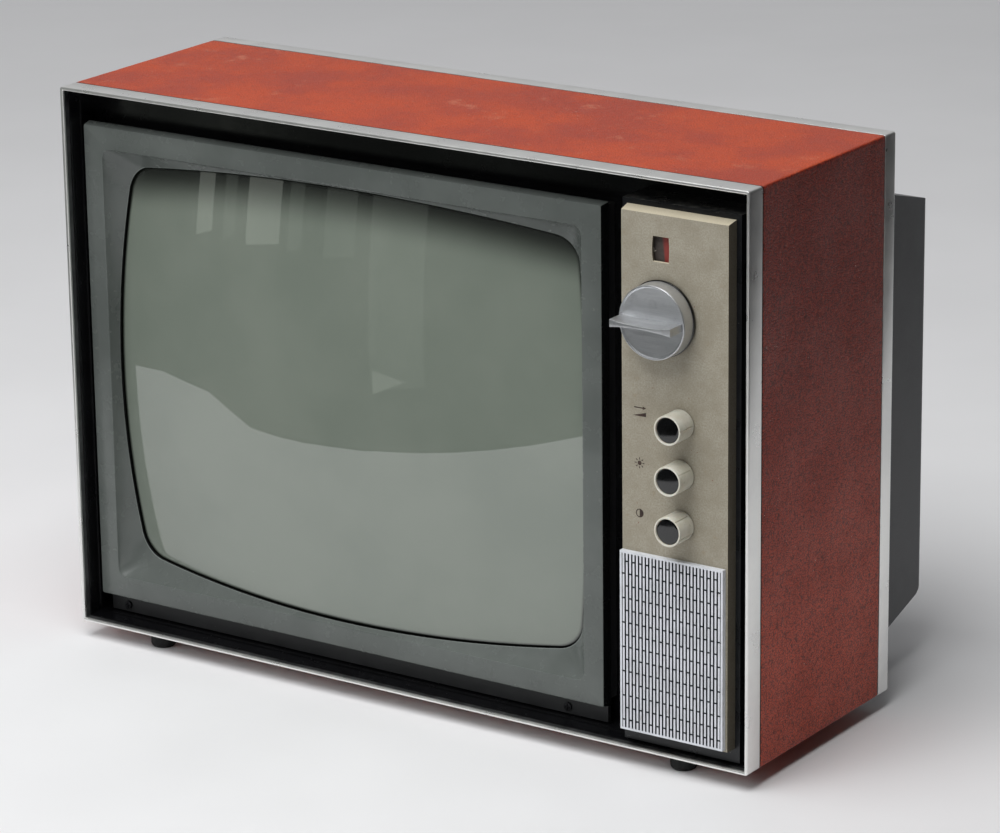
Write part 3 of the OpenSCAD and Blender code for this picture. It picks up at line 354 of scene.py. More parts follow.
def panel_enamel():
    paint = Paint("panel_enamel", {"Specular IOR Level": 0.4})
    sand = paint.noise(1.1, 5.0, 0.75)
    clouds = paint.noise(16.0, 5.0, 0.62)
    base = paint.mix(paint.between(clouds, 0.3, 0.7), shade("9B9484"), shade("ACA697"))
    base = paint.mix(paint.between(sand, 0.35, 0.65, 0.0, 0.7), base, shade("88816F"))
    stains = paint.between(paint.noise(7.0, 4.0, 0.6), 0.62, 0.76, 0.0, 0.4)
    base = paint.mix(stains, base, shade("8E7B5E"))
    rust = paint.between(paint.noise(2.4, 2.0, 0.5), 0.735, 0.77)
    rare = paint.between(paint.noise(21.0, 1.0), 0.52, 0.60)
    base = paint.mix(paint.times(rust, rare), base, shade("7E4A36"))
    # Painted highlight along the edges.
    base = paint.mix(paint.times(paint.edges(0.8), 0.7), base, shade("D6CDB2"))
    # Painted shade on the faces that point right.
    base = paint.mix(paint.times(paint.turned_to(0), 0.75), base, shade("3E382D"))
    # Painted light on the faces that point up.
    base = paint.mix(paint.times(paint.turned_to(2), 0.6), base, shade("D2C8AE"))
    paint.colour(base)
    paint.gloss(paint.between(sand, 0.3, 0.7, 0.50, 0.66))
    paint.bump(sand, 0.03)
    return paint


def grille_plastic():
    """White on the bars and the border, painted dark inside the border below the face."""
    paint = Paint("grille_plastic", {"Specular IOR Level": 0.5})
    inner = 1.3 * MM
    blend = 0.1 * MM
    hollow = paint.between(paint.axis("Y"), GRILLE_LOW.y + 0.04 * MM, GRILLE_LOW.y + 0.12 * MM)
    for name, low, high in (("X", GRILLE_LOW.x, GRILLE_HIGH.x), ("Z", GRILLE_LOW.z, GRILLE_HIGH.z)):
        place = paint.axis(name)
        past_low = paint.between(place, low + inner, low + inner + blend)
        short_of_high = paint.between(place, high - inner - blend, high - inner, 1.0, 0.0)
        hollow = paint.times(hollow, paint.times(past_low, short_of_high))
    age = paint.between(paint.noise(14.0, 4.0), 0.35, 0.7)
    white = paint.mix(age, shade("DFE2E8"), shade("D2D5DA"))
    dirt = paint.noise(5.0, 5.0, 0.7, at=paint.spot(1.0, 1.0, 0.35))
    white = paint.mix(paint.between(dirt, 0.62, 0.75, 0.0, 0.55), white, shade("8B8064"))
    navy = paint.mix(paint.noise(6.0), shade("0E1422"), shade("1C2636"))
    paint.colour(paint.mix(hollow, white, navy))
    paint.gloss(paint.between(age, 0.0, 1.0, 0.34, 0.5))
    paint.bump(paint.noise(0.8, 2.0), 0.012)
    return paint


def screen_glass():
    """A grey-green phosphor behind thick glossy glass. It goes black at its rim, partly the glass's
    dark edge and partly painted shade, and a painted shadow of the bezel darkens it below the top.
    """
    paint = Paint("screen_glass", {"Coat Roughness": 0.012, "Coat IOR": 1.9})
    clouds = paint.noise(90.0, 3.0)
    base = paint.mix(paint.between(clouds, 0.3, 0.7), shade("747D72"), shade("7C8479"))
    dust = paint.between(paint.noise(1.2, 2.0), 0.73, 0.76, 0.0, 0.25)
    base = paint.mix(dust, base, shade("A3AAA0"))
    rim = paint.put("Attribute", {"attribute_name": "rim"}).outputs["Fac"]
    below = paint.put("Attribute", {"attribute_name": "below_top"}).outputs["Fac"]
    # Painted shade towards the rim, partly the glass's own dark edge.
    base = paint.mix(paint.between(rim, 0.8, 4.0, 1.0, 0.0), base, shade("050605"))
    # Painted shadow of the bezel's top across the upper part of the screen.
    base = paint.mix(paint.between(below, 3.0, 32.0, 0.92, 0.0), base, shade("1A1D19"))
    paint.colour(base)
    paint.feed(paint.shader.inputs["Coat Weight"], paint.between(rim, 0.8, 2.2))
    paint.feed(paint.shader.inputs["Specular IOR Level"], paint.between(rim, 0.8, 2.2, 0.02, 0.2))
    paint.gloss(paint.between(clouds, 0.3, 0.7, 0.52, 0.62))
    return paint


def dial_plastic():
    """A brown-black disc with a red sector beside its rest mark."""
    paint = Paint("dial_plastic", {"Specular IOR Level": 0.4})
    middle = middle_of("channel_dial")
    across = paint.calc("SUBTRACT", paint.axis("X"), middle.x)
    up = paint.calc("SUBTRACT", paint.axis("Z"), middle.z)
    angle = paint.calc("ARCTAN2", across, up)
    warm = paint.times(paint.between(angle, -0.16, 0.0),
                      paint.between(angle, 0.42, 0.5, 1.0, 0.0))
    mottle = paint.noise(3.0, 4.0)
    base = paint.mix(mottle, shade("3B3532"), shade("5E5651"))
    paint.colour(paint.mix(warm, base, shade("8E3A34")))
    paint.gloss(paint.between(mottle, 0.3, 0.7, 0.4, 0.55))
    paint.bump(mottle, 0.01)
    return paint


def knob_ivory():
    paint = Paint("knob_ivory", {"Specular IOR Level": 0.5, "Subsurface Weight": 0.05})
    yellow = paint.noise(9.0, 4.0)
    base = paint.mix(paint.between(yellow, 0.3, 0.7), shade("DCD9CD"), shade("CDC9B9"))
    grime = paint.between(paint.noise(3.0, 4.0), 0.6, 0.76, 0.0, 0.5)
    paint.colour(paint.mix(grime, base, shade("9A917C")))
    paint.gloss(paint.between(yellow, 0.3, 0.7, 0.32, 0.44))
    paint.bump(paint.noise(0.9, 2.0), 0.012)
    return paint


def dusty_black(name, dark, light, roughness, grain=0.8, relief=0.02):
    """Black with grey dust on what faces up."""
    paint = Paint(name, {"Specular IOR Level": 0.45})
    patches = paint.noise(22.0, 4.0)
    base = paint.mix(paint.between(patches, 0.35, 0.65), shade(dark), shade(light))
    up = paint.put("SeparateXYZ", Vector=paint.put("NewGeometry").outputs["Normal"]).outputs["Z"]
    dust = paint.times(paint.between(up, 0.6, 0.95),
                      paint.between(paint.noise(4.0, 5.0, 0.7), 0.35, 0.8, 0.0, 0.35))
    specks = paint.between(paint.noise(1.1, 2.0), 0.74, 0.77, 0.0, 0.4)
    base = paint.mix(dust, base, shade("8A8880"))
    paint.colour(paint.mix(specks, base, shade("B9B6AC")))
    paint.gloss(paint.between(patches, 0.3, 0.7, roughness * 0.85, roughness * 1.2))
    paint.bump(paint.noise(grain, 2.0), relief)
    return paint


def cover_plastic():
    paint = Paint("cover_plastic", {"Specular IOR Level": 0.4})
    clouds = paint.noise(45.0, 4.0)
    base = paint.mix(paint.between(clouds, 0.35, 0.65), shade("58595A"), shade("646566"))
    base = paint.mix(paint.between(paint.noise(3.0, 5.0, 0.7), 0.58, 0.75, 0.0, 0.3), base,
                     shade("80807E"))
    paint.colour(base)
    paint.gloss(paint.between(clouds, 0.3, 0.7, 0.50, 0.62))
    paint.bump(paint.cells(0.9), 0.08)
    return paint


def board():
    paint = moulded("board", "8A6A34", "A07D42", 0.5)
    tracks = paint.between(paint.cells(6.0, feature="DISTANCE_TO_EDGE"), 0.03, 0.06, 0.35, 0.0)
    paint.bump(tracks, 0.05)
    return paint


PAINTS = {paint.name: paint for paint in (
    leathercloth(),
    trim_aluminium(),
    metal("sleeve_steel", "6E6F70", "858687", 0.45),
    moulded("black_metal", "08080A", "0E0E10", 0.24, patch=30.0),
    dusty_black("black_plastic", "232425", "2C2D2E", 0.45),
    dusty_black("plinth_plastic", "0F1114", "15171A", 0.30),
    bezel_plastic(),
    panel_enamel(),
    grille_plastic(),
    moulded("grille_cloth", "0A0D16", "141A26", 0.85, grain=0.5, relief=0.2),
    screen_glass(),
    moulded("funnel_glass", "22211F", "302E2B", 0.6, patch=30.0),
    metal("steel", "9B9C9D", "B3B4B5", 0.35),
    metal("dark_steel", "2A2A2C", "3C3C3E", 0.4),
    dusty_black("rubber", "0E0E0E", "181818", 0.7, grain=0.5, relief=0.04),
    moulded("ferrite", "2B2A29", "3A3937", 0.6),
    metal("winding", "7A3B18", "A55A2A", 0.4, grain=0.4, relief=0.2),
    moulded("brown_plastic", "3A2315", "4A2E1C", 0.3),
    board(),
    moulded("valve_glass", "8E9696", "A7AEAE", 0.12, values={"Coat Weight": 0.6}),
    metal("aluminium_can", "B9BBBD", "D0D2D4", 0.3),
    moulded("ceramic", "B4AB93", "C4BBA5", 0.55),
    moulded("nylon", "CFC6AE", "DDD5C0", 0.4),
    moulded("knob_black", "070708", "0E0E10", 0.09, relief=0.003,
            values={"Coat Weight": 0.5, "Coat Roughness": 0.05}),
    knob_aluminium(),
    knob_ivory(),
    dial_plastic(),
    metal("contact_brass", "A98A3C", "C2A355", 0.3),
    moulded("cone_paper", "2B2620", "3A342B", 0.9, grain=1.5, relief=0.2),
    cover_plastic(),
)}
PRINT_INK = moulded("print_ink", "33241E", "45332A", 0.6, patch=3.0)
DIAL_INK = moulded("dial_ink", "C9C4B6", "DAD5C8", 0.5, patch=3.0)


def finish_cad_nodes():
    """Gives each CAD node the material of its slot."""
    for node in NODES.values():
        for spot in node.material_slots:
            spot.material = PAINTS[spot.material.name].material


# ---------- mesh tools ----------

def placed(name, data):
    """A new object in the scene."""
    thing = bpy.data.objects.new(name, data)
    bpy.context.scene.collection.objects.link(thing)
    return thing


def make(name, shape, slot, stands_for=(), body=CABINET, paint=None, crease=38.0):
    """An object from vertices and faces, that rides on a body and stands for CAD nodes."""
    vertices, faces = shape
    mesh = bpy.data.meshes.new(name)
    mesh.from_pydata([tuple(v) for v in vertices], [], faces)
    work = bmesh.new()
    work.from_mesh(mesh)
    bmesh.ops.remove_doubles(work, verts=work.verts, dist=0.002 * MM)
    bmesh.ops.recalc_face_normals(work, faces=work.faces)
    work.to_mesh(mesh)
    work.free()
    mesh.shade_smooth()
    mesh.set_sharp_from_angle(angle=math.radians(crease))
    mesh.materials.append((paint or PAINTS[slot]).material)
    piece = placed(name, mesh)
    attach(piece, body)
    if stands_for:
        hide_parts(*stands_for)
    return piece


def lofted(rings, loop=False):
    """A skin through rings of points. Each ring is closed, and a loop joins last to first."""
    count = len(rings[0])
    vertices = [point for ring in rings for point in ring]
    faces = []
    for i in range(len(rings) if loop else len(rings) - 1):
        j = (i + 1) % len(rings)
        for k in range(count):
            m = (k + 1) % count
            faces.append((i * count + k, i * count + m, j * count + m, j * count + k))
    return vertices, faces


def closed(rings):
    """A skin through rings with a flat face over each end."""
    vertices, faces = lofted(rings)
    count = len(rings[0])
    last = len(vertices) - count
    return vertices, [*faces, tuple(range(count)), tuple(range(last, last + count))]


def joined(shapes):
    """Several shapes as one."""
    vertices = []
    faces = []
    for more, found in shapes:
        start = len(vertices)
        vertices += more
        faces += [tuple(start + i for i in face) for face in found]
    return vertices, faces


def filleted(points, radius, steps=3, loop=True):
    """A flat outline with each corner rounded by a short curve."""
    done = []
    count = len(points)
    for i, point in enumerate(points):
        if not loop and i in (0, count - 1):
            done.append(tuple(point))
            continue
        here = Vector(point)
        before = Vector(points[i - 1]) - here
        after = Vector(points[(i + 1) % count]) - here
        reach = min(radius, before.length * 0.45, after.length * 0.45)
        start = here + before.normalized() * reach
        end = here + after.normalized() * reach
        for k in range(steps + 1):
            t = k / steps
            done.append(tuple(start * (1 - t) ** 2 + here * (2 * t * (1 - t)) + end * t ** 2))
    return done


def turned(x, z, profile, segments=96):
    """A solid turned about an axis along Y, from points (radius, y) that start and end at it."""
    angles = [math.tau * i / segments for i in range(segments)]
    rings = [[(x + r * math.cos(a), y, z + r * math.sin(a)) for a in angles] for r, y in profile]
    return closed(rings)


def rectangle(half_w, half_h, radius, centre, corner=5, spacing=None):
    """A rounded rectangle's points, anticlockwise, its sides cut to a spacing if one is given."""
    cx, cz = centre
    turns = [(1, 1), (-1, 1), (-1, -1), (1, -1)]
    arcs = []
    for i, (sx, sz) in enumerate(turns):
        middle = (cx + sx * (half_w - radius), cz + sz * (half_h - radius))
        angles = [math.radians(90 * (i + k / corner)) for k in range(corner + 1)]
        arcs.append([(middle[0] + radius * math.cos(a), middle[1] + radius * math.sin(a))
                     for a in angles])
    points = []
    for i, arc in enumerate(arcs):
        points += arc
        side = CAB_W if i % 2 == 0 else CAB_H
        cuts = round(side / spacing) if spacing else 1
        start = Vector(arc[-1])
        end = Vector(arcs[(i + 1) % 4][0])
        points += [tuple(start.lerp(end, k / cuts)) for k in range(1, cuts)]
    return points


def cabinet_outline(inset, spacing=None):
    """The cabinet's outline, shrunk by an inset."""
    r = max(EDGE_R - inset, 0.4 * MM)
    return rectangle(CAB_W / 2 - inset, CAB_H / 2 - inset, r, (0.0, CAB_MIDDLE), spacing=spacing)


def carried(profile, outline):
    """A closed profile of points (inset, y) carried round an outline."""
    return lofted([[(x, y, z) for x, z in outline(inset)] for inset, y in profile], loop=True)


def softened(node, width):
    """A copy of a CAD node with its sharp edges rounded, which stands for the node."""
    source = NODES[node]
    work = bmesh.new()
    work.from_mesh(source.data)
    bmesh.ops.remove_doubles(work, verts=work.verts, dist=0.002 * MM)
    bmesh.ops.dissolve_limit(work, angle_limit=math.radians(0.6), verts=work.verts,
                             edges=work.edges)
    mesh = bpy.data.meshes.new(node + "_skin")
    work.to_mesh(mesh)
    work.free()
    for layer in [a.name for a in mesh.attributes if a.name == "custom_normal"]:
        mesh.attributes.remove(mesh.attributes[layer])
    mesh.shade_smooth()
    slot = source.material_slots[0].material.name.removeprefix("finish_")
    mesh.materials.clear()
    mesh.materials.append(PAINTS[slot].material)
    piece = placed(mesh.name, mesh)
    rounding = piece.modifiers.new("rounding", "BEVEL")
    rounding.width = width
    rounding.segments = 2
    rounding.limit_method = "ANGLE"
    rounding.angle_limit = math.radians(40)
    rounding.use_clamp_overlap = True
    piece.modifiers.new("shading", "WEIGHTED_NORMAL")
    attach(piece, source["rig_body"])
    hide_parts(node)
    return piece


# ---------- cabinet ----------

def trim_profile(front, back):
    """A flat flange whose edge is folded into a rounded lip."""
    way = 1 if back > front else -1
    bead = [(0, 0.9), (0.3, 0.3), (0.85, 0), (1.65, 0), (2.2, 0.3), (2.5, 0.9), (2.5, 2.5),
            (1.0, 2.5)]
    points = [(inset * MM, front + way * depth * MM) for inset, depth in bead]
    points += [(SHEET_T, back), (0, back)]
    return filleted(points, 0.4 * MM)


def build_trims():
    front = trim_profile(TRIM_LOW.y, TRIM_HIGH.y)
    make("front_trim_skin", carried(front, cabinet_outline), "trim_aluminium", ["front_trim"])
    rear = trim_profile(REAR_HIGH.y, REAR_LOW.y)
    make("rear_trim_skin", carried(rear, cabinet_outline), "trim_aluminium", ["rear_trim"])


def cloth_height(point):
    """How far the cloth stands out at a point, in metres: low swells and fine creases."""
    swell = noise.noise(point / (24 * MM))
    crease = noise.noise(Vector((point.x, point.y, point.z * 0.5)) / (5 * MM))
    return (0.10 * swell - 0.09 * abs(crease)) * MM


def build_leathercloth():
    """The cloth's outer skin is cut fine enough to hold its creases, and its edges fray a little."""
    spacing = 3 * MM
    low, high = CLOTH_LOW.y, CLOTH_HIGH.y
    cuts = round((high - low) / spacing)
    outer = [(0.0, low + (high - low) * k / cuts) for k in range(1, cuts)]
    front_edge = [(SHEET_T, low), (0.35 * MM, low), (0.08 * MM, low + 0.35 * MM)]
    back_edge = [(0.08 * MM, high - 0.35 * MM), (0.35 * MM, high), (SHEET_T, high)]
    profile = front_edge + outer + back_edge
    rings = []
    for inset, y in profile:
        ring = []
        inner = cabinet_outline(inset + MM, spacing)
        for (x, z), (ix, iz) in zip(cabinet_outline(inset, spacing), inner):
            point = Vector((x, y, z))
            outward = (Vector((x, 0, z)) - Vector((ix, 0, iz))).normalized()
            near_edge = min(y - low, high - y)
            fray = 0.35 * MM * noise.noise(point / (2.2 * MM)) if near_edge < 0.5 * MM else 0.0
            lift = cloth_height(point) if inset < SHEET_T else 0.0
            ring.append(point + outward * lift + Vector((0, fray, 0)))
        rings.append(ring)
    make("leathercloth_skin", lofted(rings, loop=True), "leathercloth", ["leathercloth"])


def foot_profile(low, high, radius):
    points = [(0, high), (radius * 0.94, high), (radius, low + 2 * MM), (radius - 1.2 * MM, low),
              (radius * 0.55, low), (radius * 0.5, low + 3 * MM), (0, low + 3 * MM)]
    return filleted(points, 0.8 * MM, loop=False)


def build_feet():
    low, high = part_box("feet")
    radius = 9 * MM
    shapes = []
    for x in (low.x + radius, high.x - radius):
        for y in (low.y + radius, high.y - radius):
            vertices, faces = turned(0, 0, foot_profile(low.z, high.z, radius), segments=48)
            shapes.append(([(x + vx, y + vz, vy) for vx, vy, vz in vertices], faces))
    make("feet_skin", joined(shapes), "rubber", ["feet"])


# ---------- screen ----------

def bowed_outline(grow, long_steps=22, corner_steps=14):
    """The screen's outline: four long bowed sides and four round corners, from its middle."""
    a, b, r = VIS_A + grow, VIS_B + grow, SCREEN_CORNER + grow
    side_r = (VIS_B ** 2 + BOW_SIDE ** 2) / (2 * BOW_SIDE) + grow
    top_r = (VIS_A ** 2 + BOW_TOP ** 2) / (2 * BOW_TOP) + grow
    side_c = Vector((a - side_r, 0.0))
    top_c = Vector((0.0, b - top_r))
    gap = (top_c - side_c).length
    along = ((side_r - r) ** 2 - (top_r - r) ** 2 + gap ** 2) / (2 * gap)
    off = math.sqrt((side_r - r) ** 2 - along ** 2)
    way = (top_c - side_c) / gap
    corner = side_c + way * along + Vector((-way.y, way.x)) * off
    turn_1 = math.atan2(corner.y - side_c.y, corner.x - side_c.x)
    turn_2 = math.atan2(corner.y - top_c.y, corner.x - top_c.x)
    quarter = arc_points(side_c, side_r, 0.0, turn_1, long_steps)[:-1]
    quarter += arc_points(corner, r, turn_1, turn_2, corner_steps)[:-1]
    quarter += arc_points(top_c, top_r, turn_2, math.pi / 2, long_steps)
    left = [(-x, z) for x, z in reversed(quarter[:-1])]
    upper = quarter + left
    return upper + [(x, -z) for x, z in reversed(upper[1:-1])]


def arc_points(centre, radius, start, end, steps):
    return [(centre.x + radius * math.cos(start + (end - start) * k / steps),
             centre.y + radius * math.sin(start + (end - start) * k / steps))
            for k in range(steps + 1)]


def reach_of(outline, direction):
    """How far an outline lies from its middle in a direction."""
    best = 0.0
    for i, (x0, z0) in enumerate(outline):
        x1, z1 = outline[(i + 1) % len(outline)]
        across = direction.x * (z1 - z0) - direction.y * (x1 - x0)
        if abs(across) < 1e-12:
            continue
        far = (x0 * (z1 - z0) - z0 * (x1 - x0)) / across
        share = (x0 * direction.y - z0 * direction.x) / across
        if far > 0 and -1e-9 <= share <= 1 + 1e-9:
            best = max(best, far)
    return best


def glass_y(x, z):
    """The depth of the glass face at a place measured from the screen's middle."""
    return GLASS_LOW.y + FACE_R - math.sqrt(FACE_R ** 2 - x * x - z * z)


def in_place(x, y, z):
    return (SCREEN_X + x, y, SCREEN_Z + z)


def bezel_section(far, skirt, near, tube, end_y):
    """One cut through the frame, as points (reach, y): skirt, front face, opening wall, back."""
    y0 = BEZEL_LOW.y
    edge = 0.9 * MM
    steps = 10
    wall = []
    for k in range(steps + 1):
        t = k / steps
        bend = 0.1 * math.sin(math.pi * t) * (near - tube)
        wall.append((near + (tube - near) * t + bend, y0 + edge + (end_y - y0 - edge) * t))
    outside = [(skirt, y0 + BEZEL_D), (far + (skirt - far) * 0.2, y0 + edge),
               (far - 0.25 * edge, y0 + 0.25 * edge), (far - edge, y0)]
    lip = [(near + 1.6 * edge, y0), (near + 0.6 * edge, y0 + 0.12 * edge),
           (near + 0.15 * edge, y0 + 0.45 * edge)]
    inside = [(tube + BEZEL_WALL, end_y), (near + BEZEL_WALL, y0 + BEZEL_WALL + edge),
              (far - BEZEL_WALL, y0 + BEZEL_WALL), (far - BEZEL_WALL, y0 + BEZEL_D)]
    return [*outside, *lip, *wall, *inside]


def build_bezel():
    """A frame whose opening runs from a rectangle in front to the tube's bowed outline."""
    middle = (0.0, 0.0)
    corner_r = 1.2 * MM
    outer = rectangle(BEZEL_HALF_W, BEZEL_HALF_H, corner_r, middle)
    flared = rectangle(BEZEL_HALF_W + FLARE, BEZEL_HALF_H + FLARE, corner_r, middle)
    opening = rectangle(OPEN_HALF_W, OPEN_HALF_H, 7 * MM, middle, corner=16)
    bowed = bowed_outline(0.0, 40, 40)
    ways = [Vector(p).normalized() for p in bowed_outline(0.0, 20, 30) + outer]
    ways.sort(key=lambda way: math.atan2(way.y, way.x))
    sections = []
    for way in ways:
        tube = reach_of(bowed, way)
        end_y = glass_y(way.x * tube, way.y * tube) - BEZEL_GAP
        sections.append(bezel_section(reach_of(outer, way), reach_of(flared, way),
                                      reach_of(opening, way), tube, end_y))
    rings = [[in_place(way.x * r, y, way.y * r) for way, (r, y) in zip(ways, level)]
             for level in zip(*sections)]
    make("screen_bezel_skin", lofted(rings, loop=True), "bezel_plastic", ["screen_bezel"],
         crease=30)


def build_faceplate():
    """The tube's face: a shallow dome with straight sides and a hollow back."""
    rim = bowed_outline(GLASS_RIM - 0.6 * MM)
    inner = bowed_outline(GLASS_RIM - 8 * MM)
    shares = [0.02] + [k / 14 for k in range(1, 15)]
    back_y = GLASS_HIGH.y

    def dome(outline, share, setback):
        return [in_place(x * share, glass_y(x * share, z * share) + setback, z * share)
                for x, z in outline]

    rings = [dome(rim, share, 0.0) for share in shares]
    side = bowed_outline(GLASS_RIM)
    rings.append([in_place(x, glass_y(x, z) + 0.7 * MM, z) for x, z in side])
    rings.append([in_place(x, back_y, z) for x, z in side])
    rings.append([in_place(x, back_y, z) for x, z in inner])
    rings += [dome(inner, share, GLASS_T) for share in reversed(shares)]
    piece = make("tube_faceplate_skin", closed(rings), "screen_glass", ["tube_faceplate"])
    mark_rim(piece)


def mark_rim(piece):
    """Keeps how far each point of the glass lies inside its outline and below its top, which place
    the screen's painted shade and painted shadow.
    """
    outline = bowed_outline(0.0)
    top_r = (VIS_A ** 2 + BOW_TOP ** 2) / (2 * BOW_TOP)
    mesh = piece.data
    rim = mesh.attributes.new("rim", "FLOAT", "POINT")
    below = mesh.attributes.new("below_top", "FLOAT", "POINT")
    for i, vertex in enumerate(mesh.vertices):
        x, z = vertex.co.x - SCREEN_X, vertex.co.z - SCREEN_Z
        way = Vector((x, z))
        reach = reach_of(outline, way.normalized()) if way.length > 1e-6 else VIS_B
        top = VIS_B - top_r + math.sqrt(top_r ** 2 - min(x * x, VIS_A ** 2))
        rim.data[i].value = (reach - way.length) / MM
        below.data[i].value = (top - z) / MM


def build_gasket():
    """A rubber ring that fills the joint between the bezel's wall and the glass."""
    rings = []
    for grow, setback in ((0.4, -0.3), (3.2, -0.3), (3.2, 0.0), (0.4, 0.0)):
        outline = bowed_outline(grow * MM)
        rings.append([in_place(x, glass_y(x, z) + setback * MM, z) for x, z in outline])
    make("tube_gasket_skin", lofted(rings, loop=True), "rubber", ["tube_gasket"])


# ---------- control column ----------

def print_disc(x, z, radius, y):
    return raised(arc_points(Vector((x, z)), radius, 0.0, math.tau, 32)[:-1], y)


def raised(points, y, height=0.07 * MM):
    """A flat shape printed on a face: its points are (x, z)."""
    return closed([[(x, y, z) for x, z in points], [(x, y - height, z) for x, z in points]])


def bar(start, end, width):
    """A straight stroke's four corners."""
    along = (Vector(end) - Vector(start)).normalized() * width / 2
    side = Vector((-along.y, along.x))
    return [tuple(Vector(start) + side), tuple(Vector(start) - side),
            tuple(Vector(end) - side), tuple(Vector(end) + side)]


def ring_strokes(x, z, radius, width, y, steps=28):
    shapes = []
    for k in range(steps):
        a0, a1 = (math.tau * (k + t) / steps for t in (0.0, 1.02))
        inner, outer = radius - width / 2, radius + width / 2
        corners = [(x + r * math.cos(a), z + r * math.sin(a))
                   for r, a in ((inner, a0), (outer, a0), (outer, a1), (inner, a1))]
        shapes.append(raised(corners, y))
    return shapes


def volume_mark(x, z, y):
    """A wedge that grows to the right, over an arrow that points outwards."""
    wedge = [(x - 5 * MM, z - 2.4 * MM), (x + 5 * MM, z - 2.4 * MM), (x + 5 * MM, z + 0.4 * MM)]
    arrow = bar((x - 4 * MM, z + 3.2 * MM), (x + 2.5 * MM, z + 3.2 * MM), 0.7 * MM)
    head = [(x + 2.5 * MM, z + 2.0 * MM), (x + 5 * MM, z + 3.2 * MM), (x + 2.5 * MM, z + 4.4 * MM)]
    return joined([raised(points, y) for points in (wedge, arrow, head)])


def brightness_mark(x, z, y):
    """A sun."""
    shapes = [print_disc(x, z, 1.5 * MM, y)]
    for k in range(8):
        way = Vector((math.cos(k * math.pi / 4), math.sin(k * math.pi / 4)))
        start = Vector((x, z)) + way * 2.2 * MM
        shapes.append(raised(bar(start, start + way * 1.5 * MM, 0.6 * MM), y))
    return joined(shapes)


def contrast_mark(x, z, y):
    """A circle with its right half filled."""
    half = [(x + 2.4 * MM * math.sin(math.pi * k / 20), z + 2.4 * MM * math.cos(math.pi * k / 20))
            for k in range(21)]
    return joined([raised(half, y), *ring_strokes(x, z, 2.6 * MM, 0.6 * MM, y)])


def build_marks():
    y = PANEL_LOW.y
    x = PANEL_LOW.x + 14 * MM
    marks = {"volume": volume_mark, "brightness": brightness_mark, "contrast": contrast_mark}
    for control, draw in marks.items():
        low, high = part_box(control + "_knob")
        shape = draw(x, (low.z + high.z) / 2 + 2.5 * MM, y)
        make("mark_" + control, shape, "panel_enamel", paint=PRINT_INK)


def build_tuner_knob():
    axis = middle_of("tuner_knob_cap")
    low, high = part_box("tuner_knob_cap")
    outer = (high.x - low.x) / 2
    face = low.y
    cap = filleted([(0, face + 0.8 * MM), (outer - 1.9 * MM, face + 0.8 * MM),
                    (outer - 1.5 * MM, face), (outer - 0.5 * MM, face),
                    (outer - 0.1 * MM, face + 1.0 * MM), (outer, high.y),
                    (outer - 1.8 * MM, high.y), (outer - 1.8 * MM, face + 2.4 * MM),
                    (0, face + 2.4 * MM)], 0.3 * MM, loop=False)
    make("tuner_knob_cap_skin", turned(axis.x, axis.z, cap, 160), "knob_aluminium",
         ["tuner_knob_cap"], body="tuner")
    low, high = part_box("tuner_knob")
    base_r = (high.x - low.x) / 2
    base = filleted([(0, low.y), (base_r - 2.4 * MM, low.y), (base_r - 2.4 * MM, high.y - 1.8 * MM),
                     (base_r, high.y - 1.8 * MM), (base_r, high.y), (3.1 * MM, high.y),
                     (0, high.y)], 0.4 * MM, loop=False)
    make("tuner_knob_skin", turned(axis.x, axis.z, base, 128), "knob_black", ["tuner_knob"],
         body="tuner")
    build_grip()


def build_grip():
    """A blade across the knob, thin in the middle and wide at its two ends."""
    low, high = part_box("tuner_knob_grip")
    middle = (low + high) / 2
    half = (high.x - low.x) / 2
    tip = (high.z - low.z) / 2
    waist = 0.9 * MM
    root = 0.9 * MM
    steps = 24
    rings = []
    for k in range(steps + 1):
        share = 2 * k / steps - 1
        thick = waist + (tip - waist) * abs(share) ** 2.2
        foot = thick + root * (1 - share ** 2)
        section = filleted([(-thick, low.y), (thick, low.y), (foot, high.y), (-foot, high.y)],
                           0.35 * MM)
        rings.append([(middle.x + share * half, y, middle.z + z) for z, y in section])
    make("tuner_knob_grip_skin", closed(rings), "knob_aluminium", ["tuner_knob_grip"],
         body="tuner")


def split_angles(splits, segments=96):
    """Turning angles with close steps at each split line."""
    width = math.radians(1.6)
    fine = [math.radians(s) + k * width / 2 for s in splits for k in (-1, -0.5, 0.5, 1)]
    plain = [math.tau * i / segments for i in range(segments)]
    near = [a for a in plain if all(abs(math.remainder(a - math.radians(s), math.tau)) > width
                                    for s in splits)]
    return sorted(a % math.tau for a in near + fine)


def knob_shape(axis, profile, splits):
    """A turned sleeve with shallow straight split lines down its side."""
    angles = split_angles(splits)
    depth = 0.4 * MM
    width = math.radians(0.9)
    outer = max(r for r, _ in profile)
    rings = []
    for r, y in profile:
        ring = []
        for a in angles:
            in_split = any(abs(math.remainder(a - math.radians(s), math.tau)) < width
                           for s in splits)
            cut = depth if in_split and r > outer - 0.1 * MM else 0.0
            ring.append((axis.x + (r - cut) * math.cos(a), y, axis.z + (r - cut) * math.sin(a)))
        rings.append(ring)
    return closed(rings)


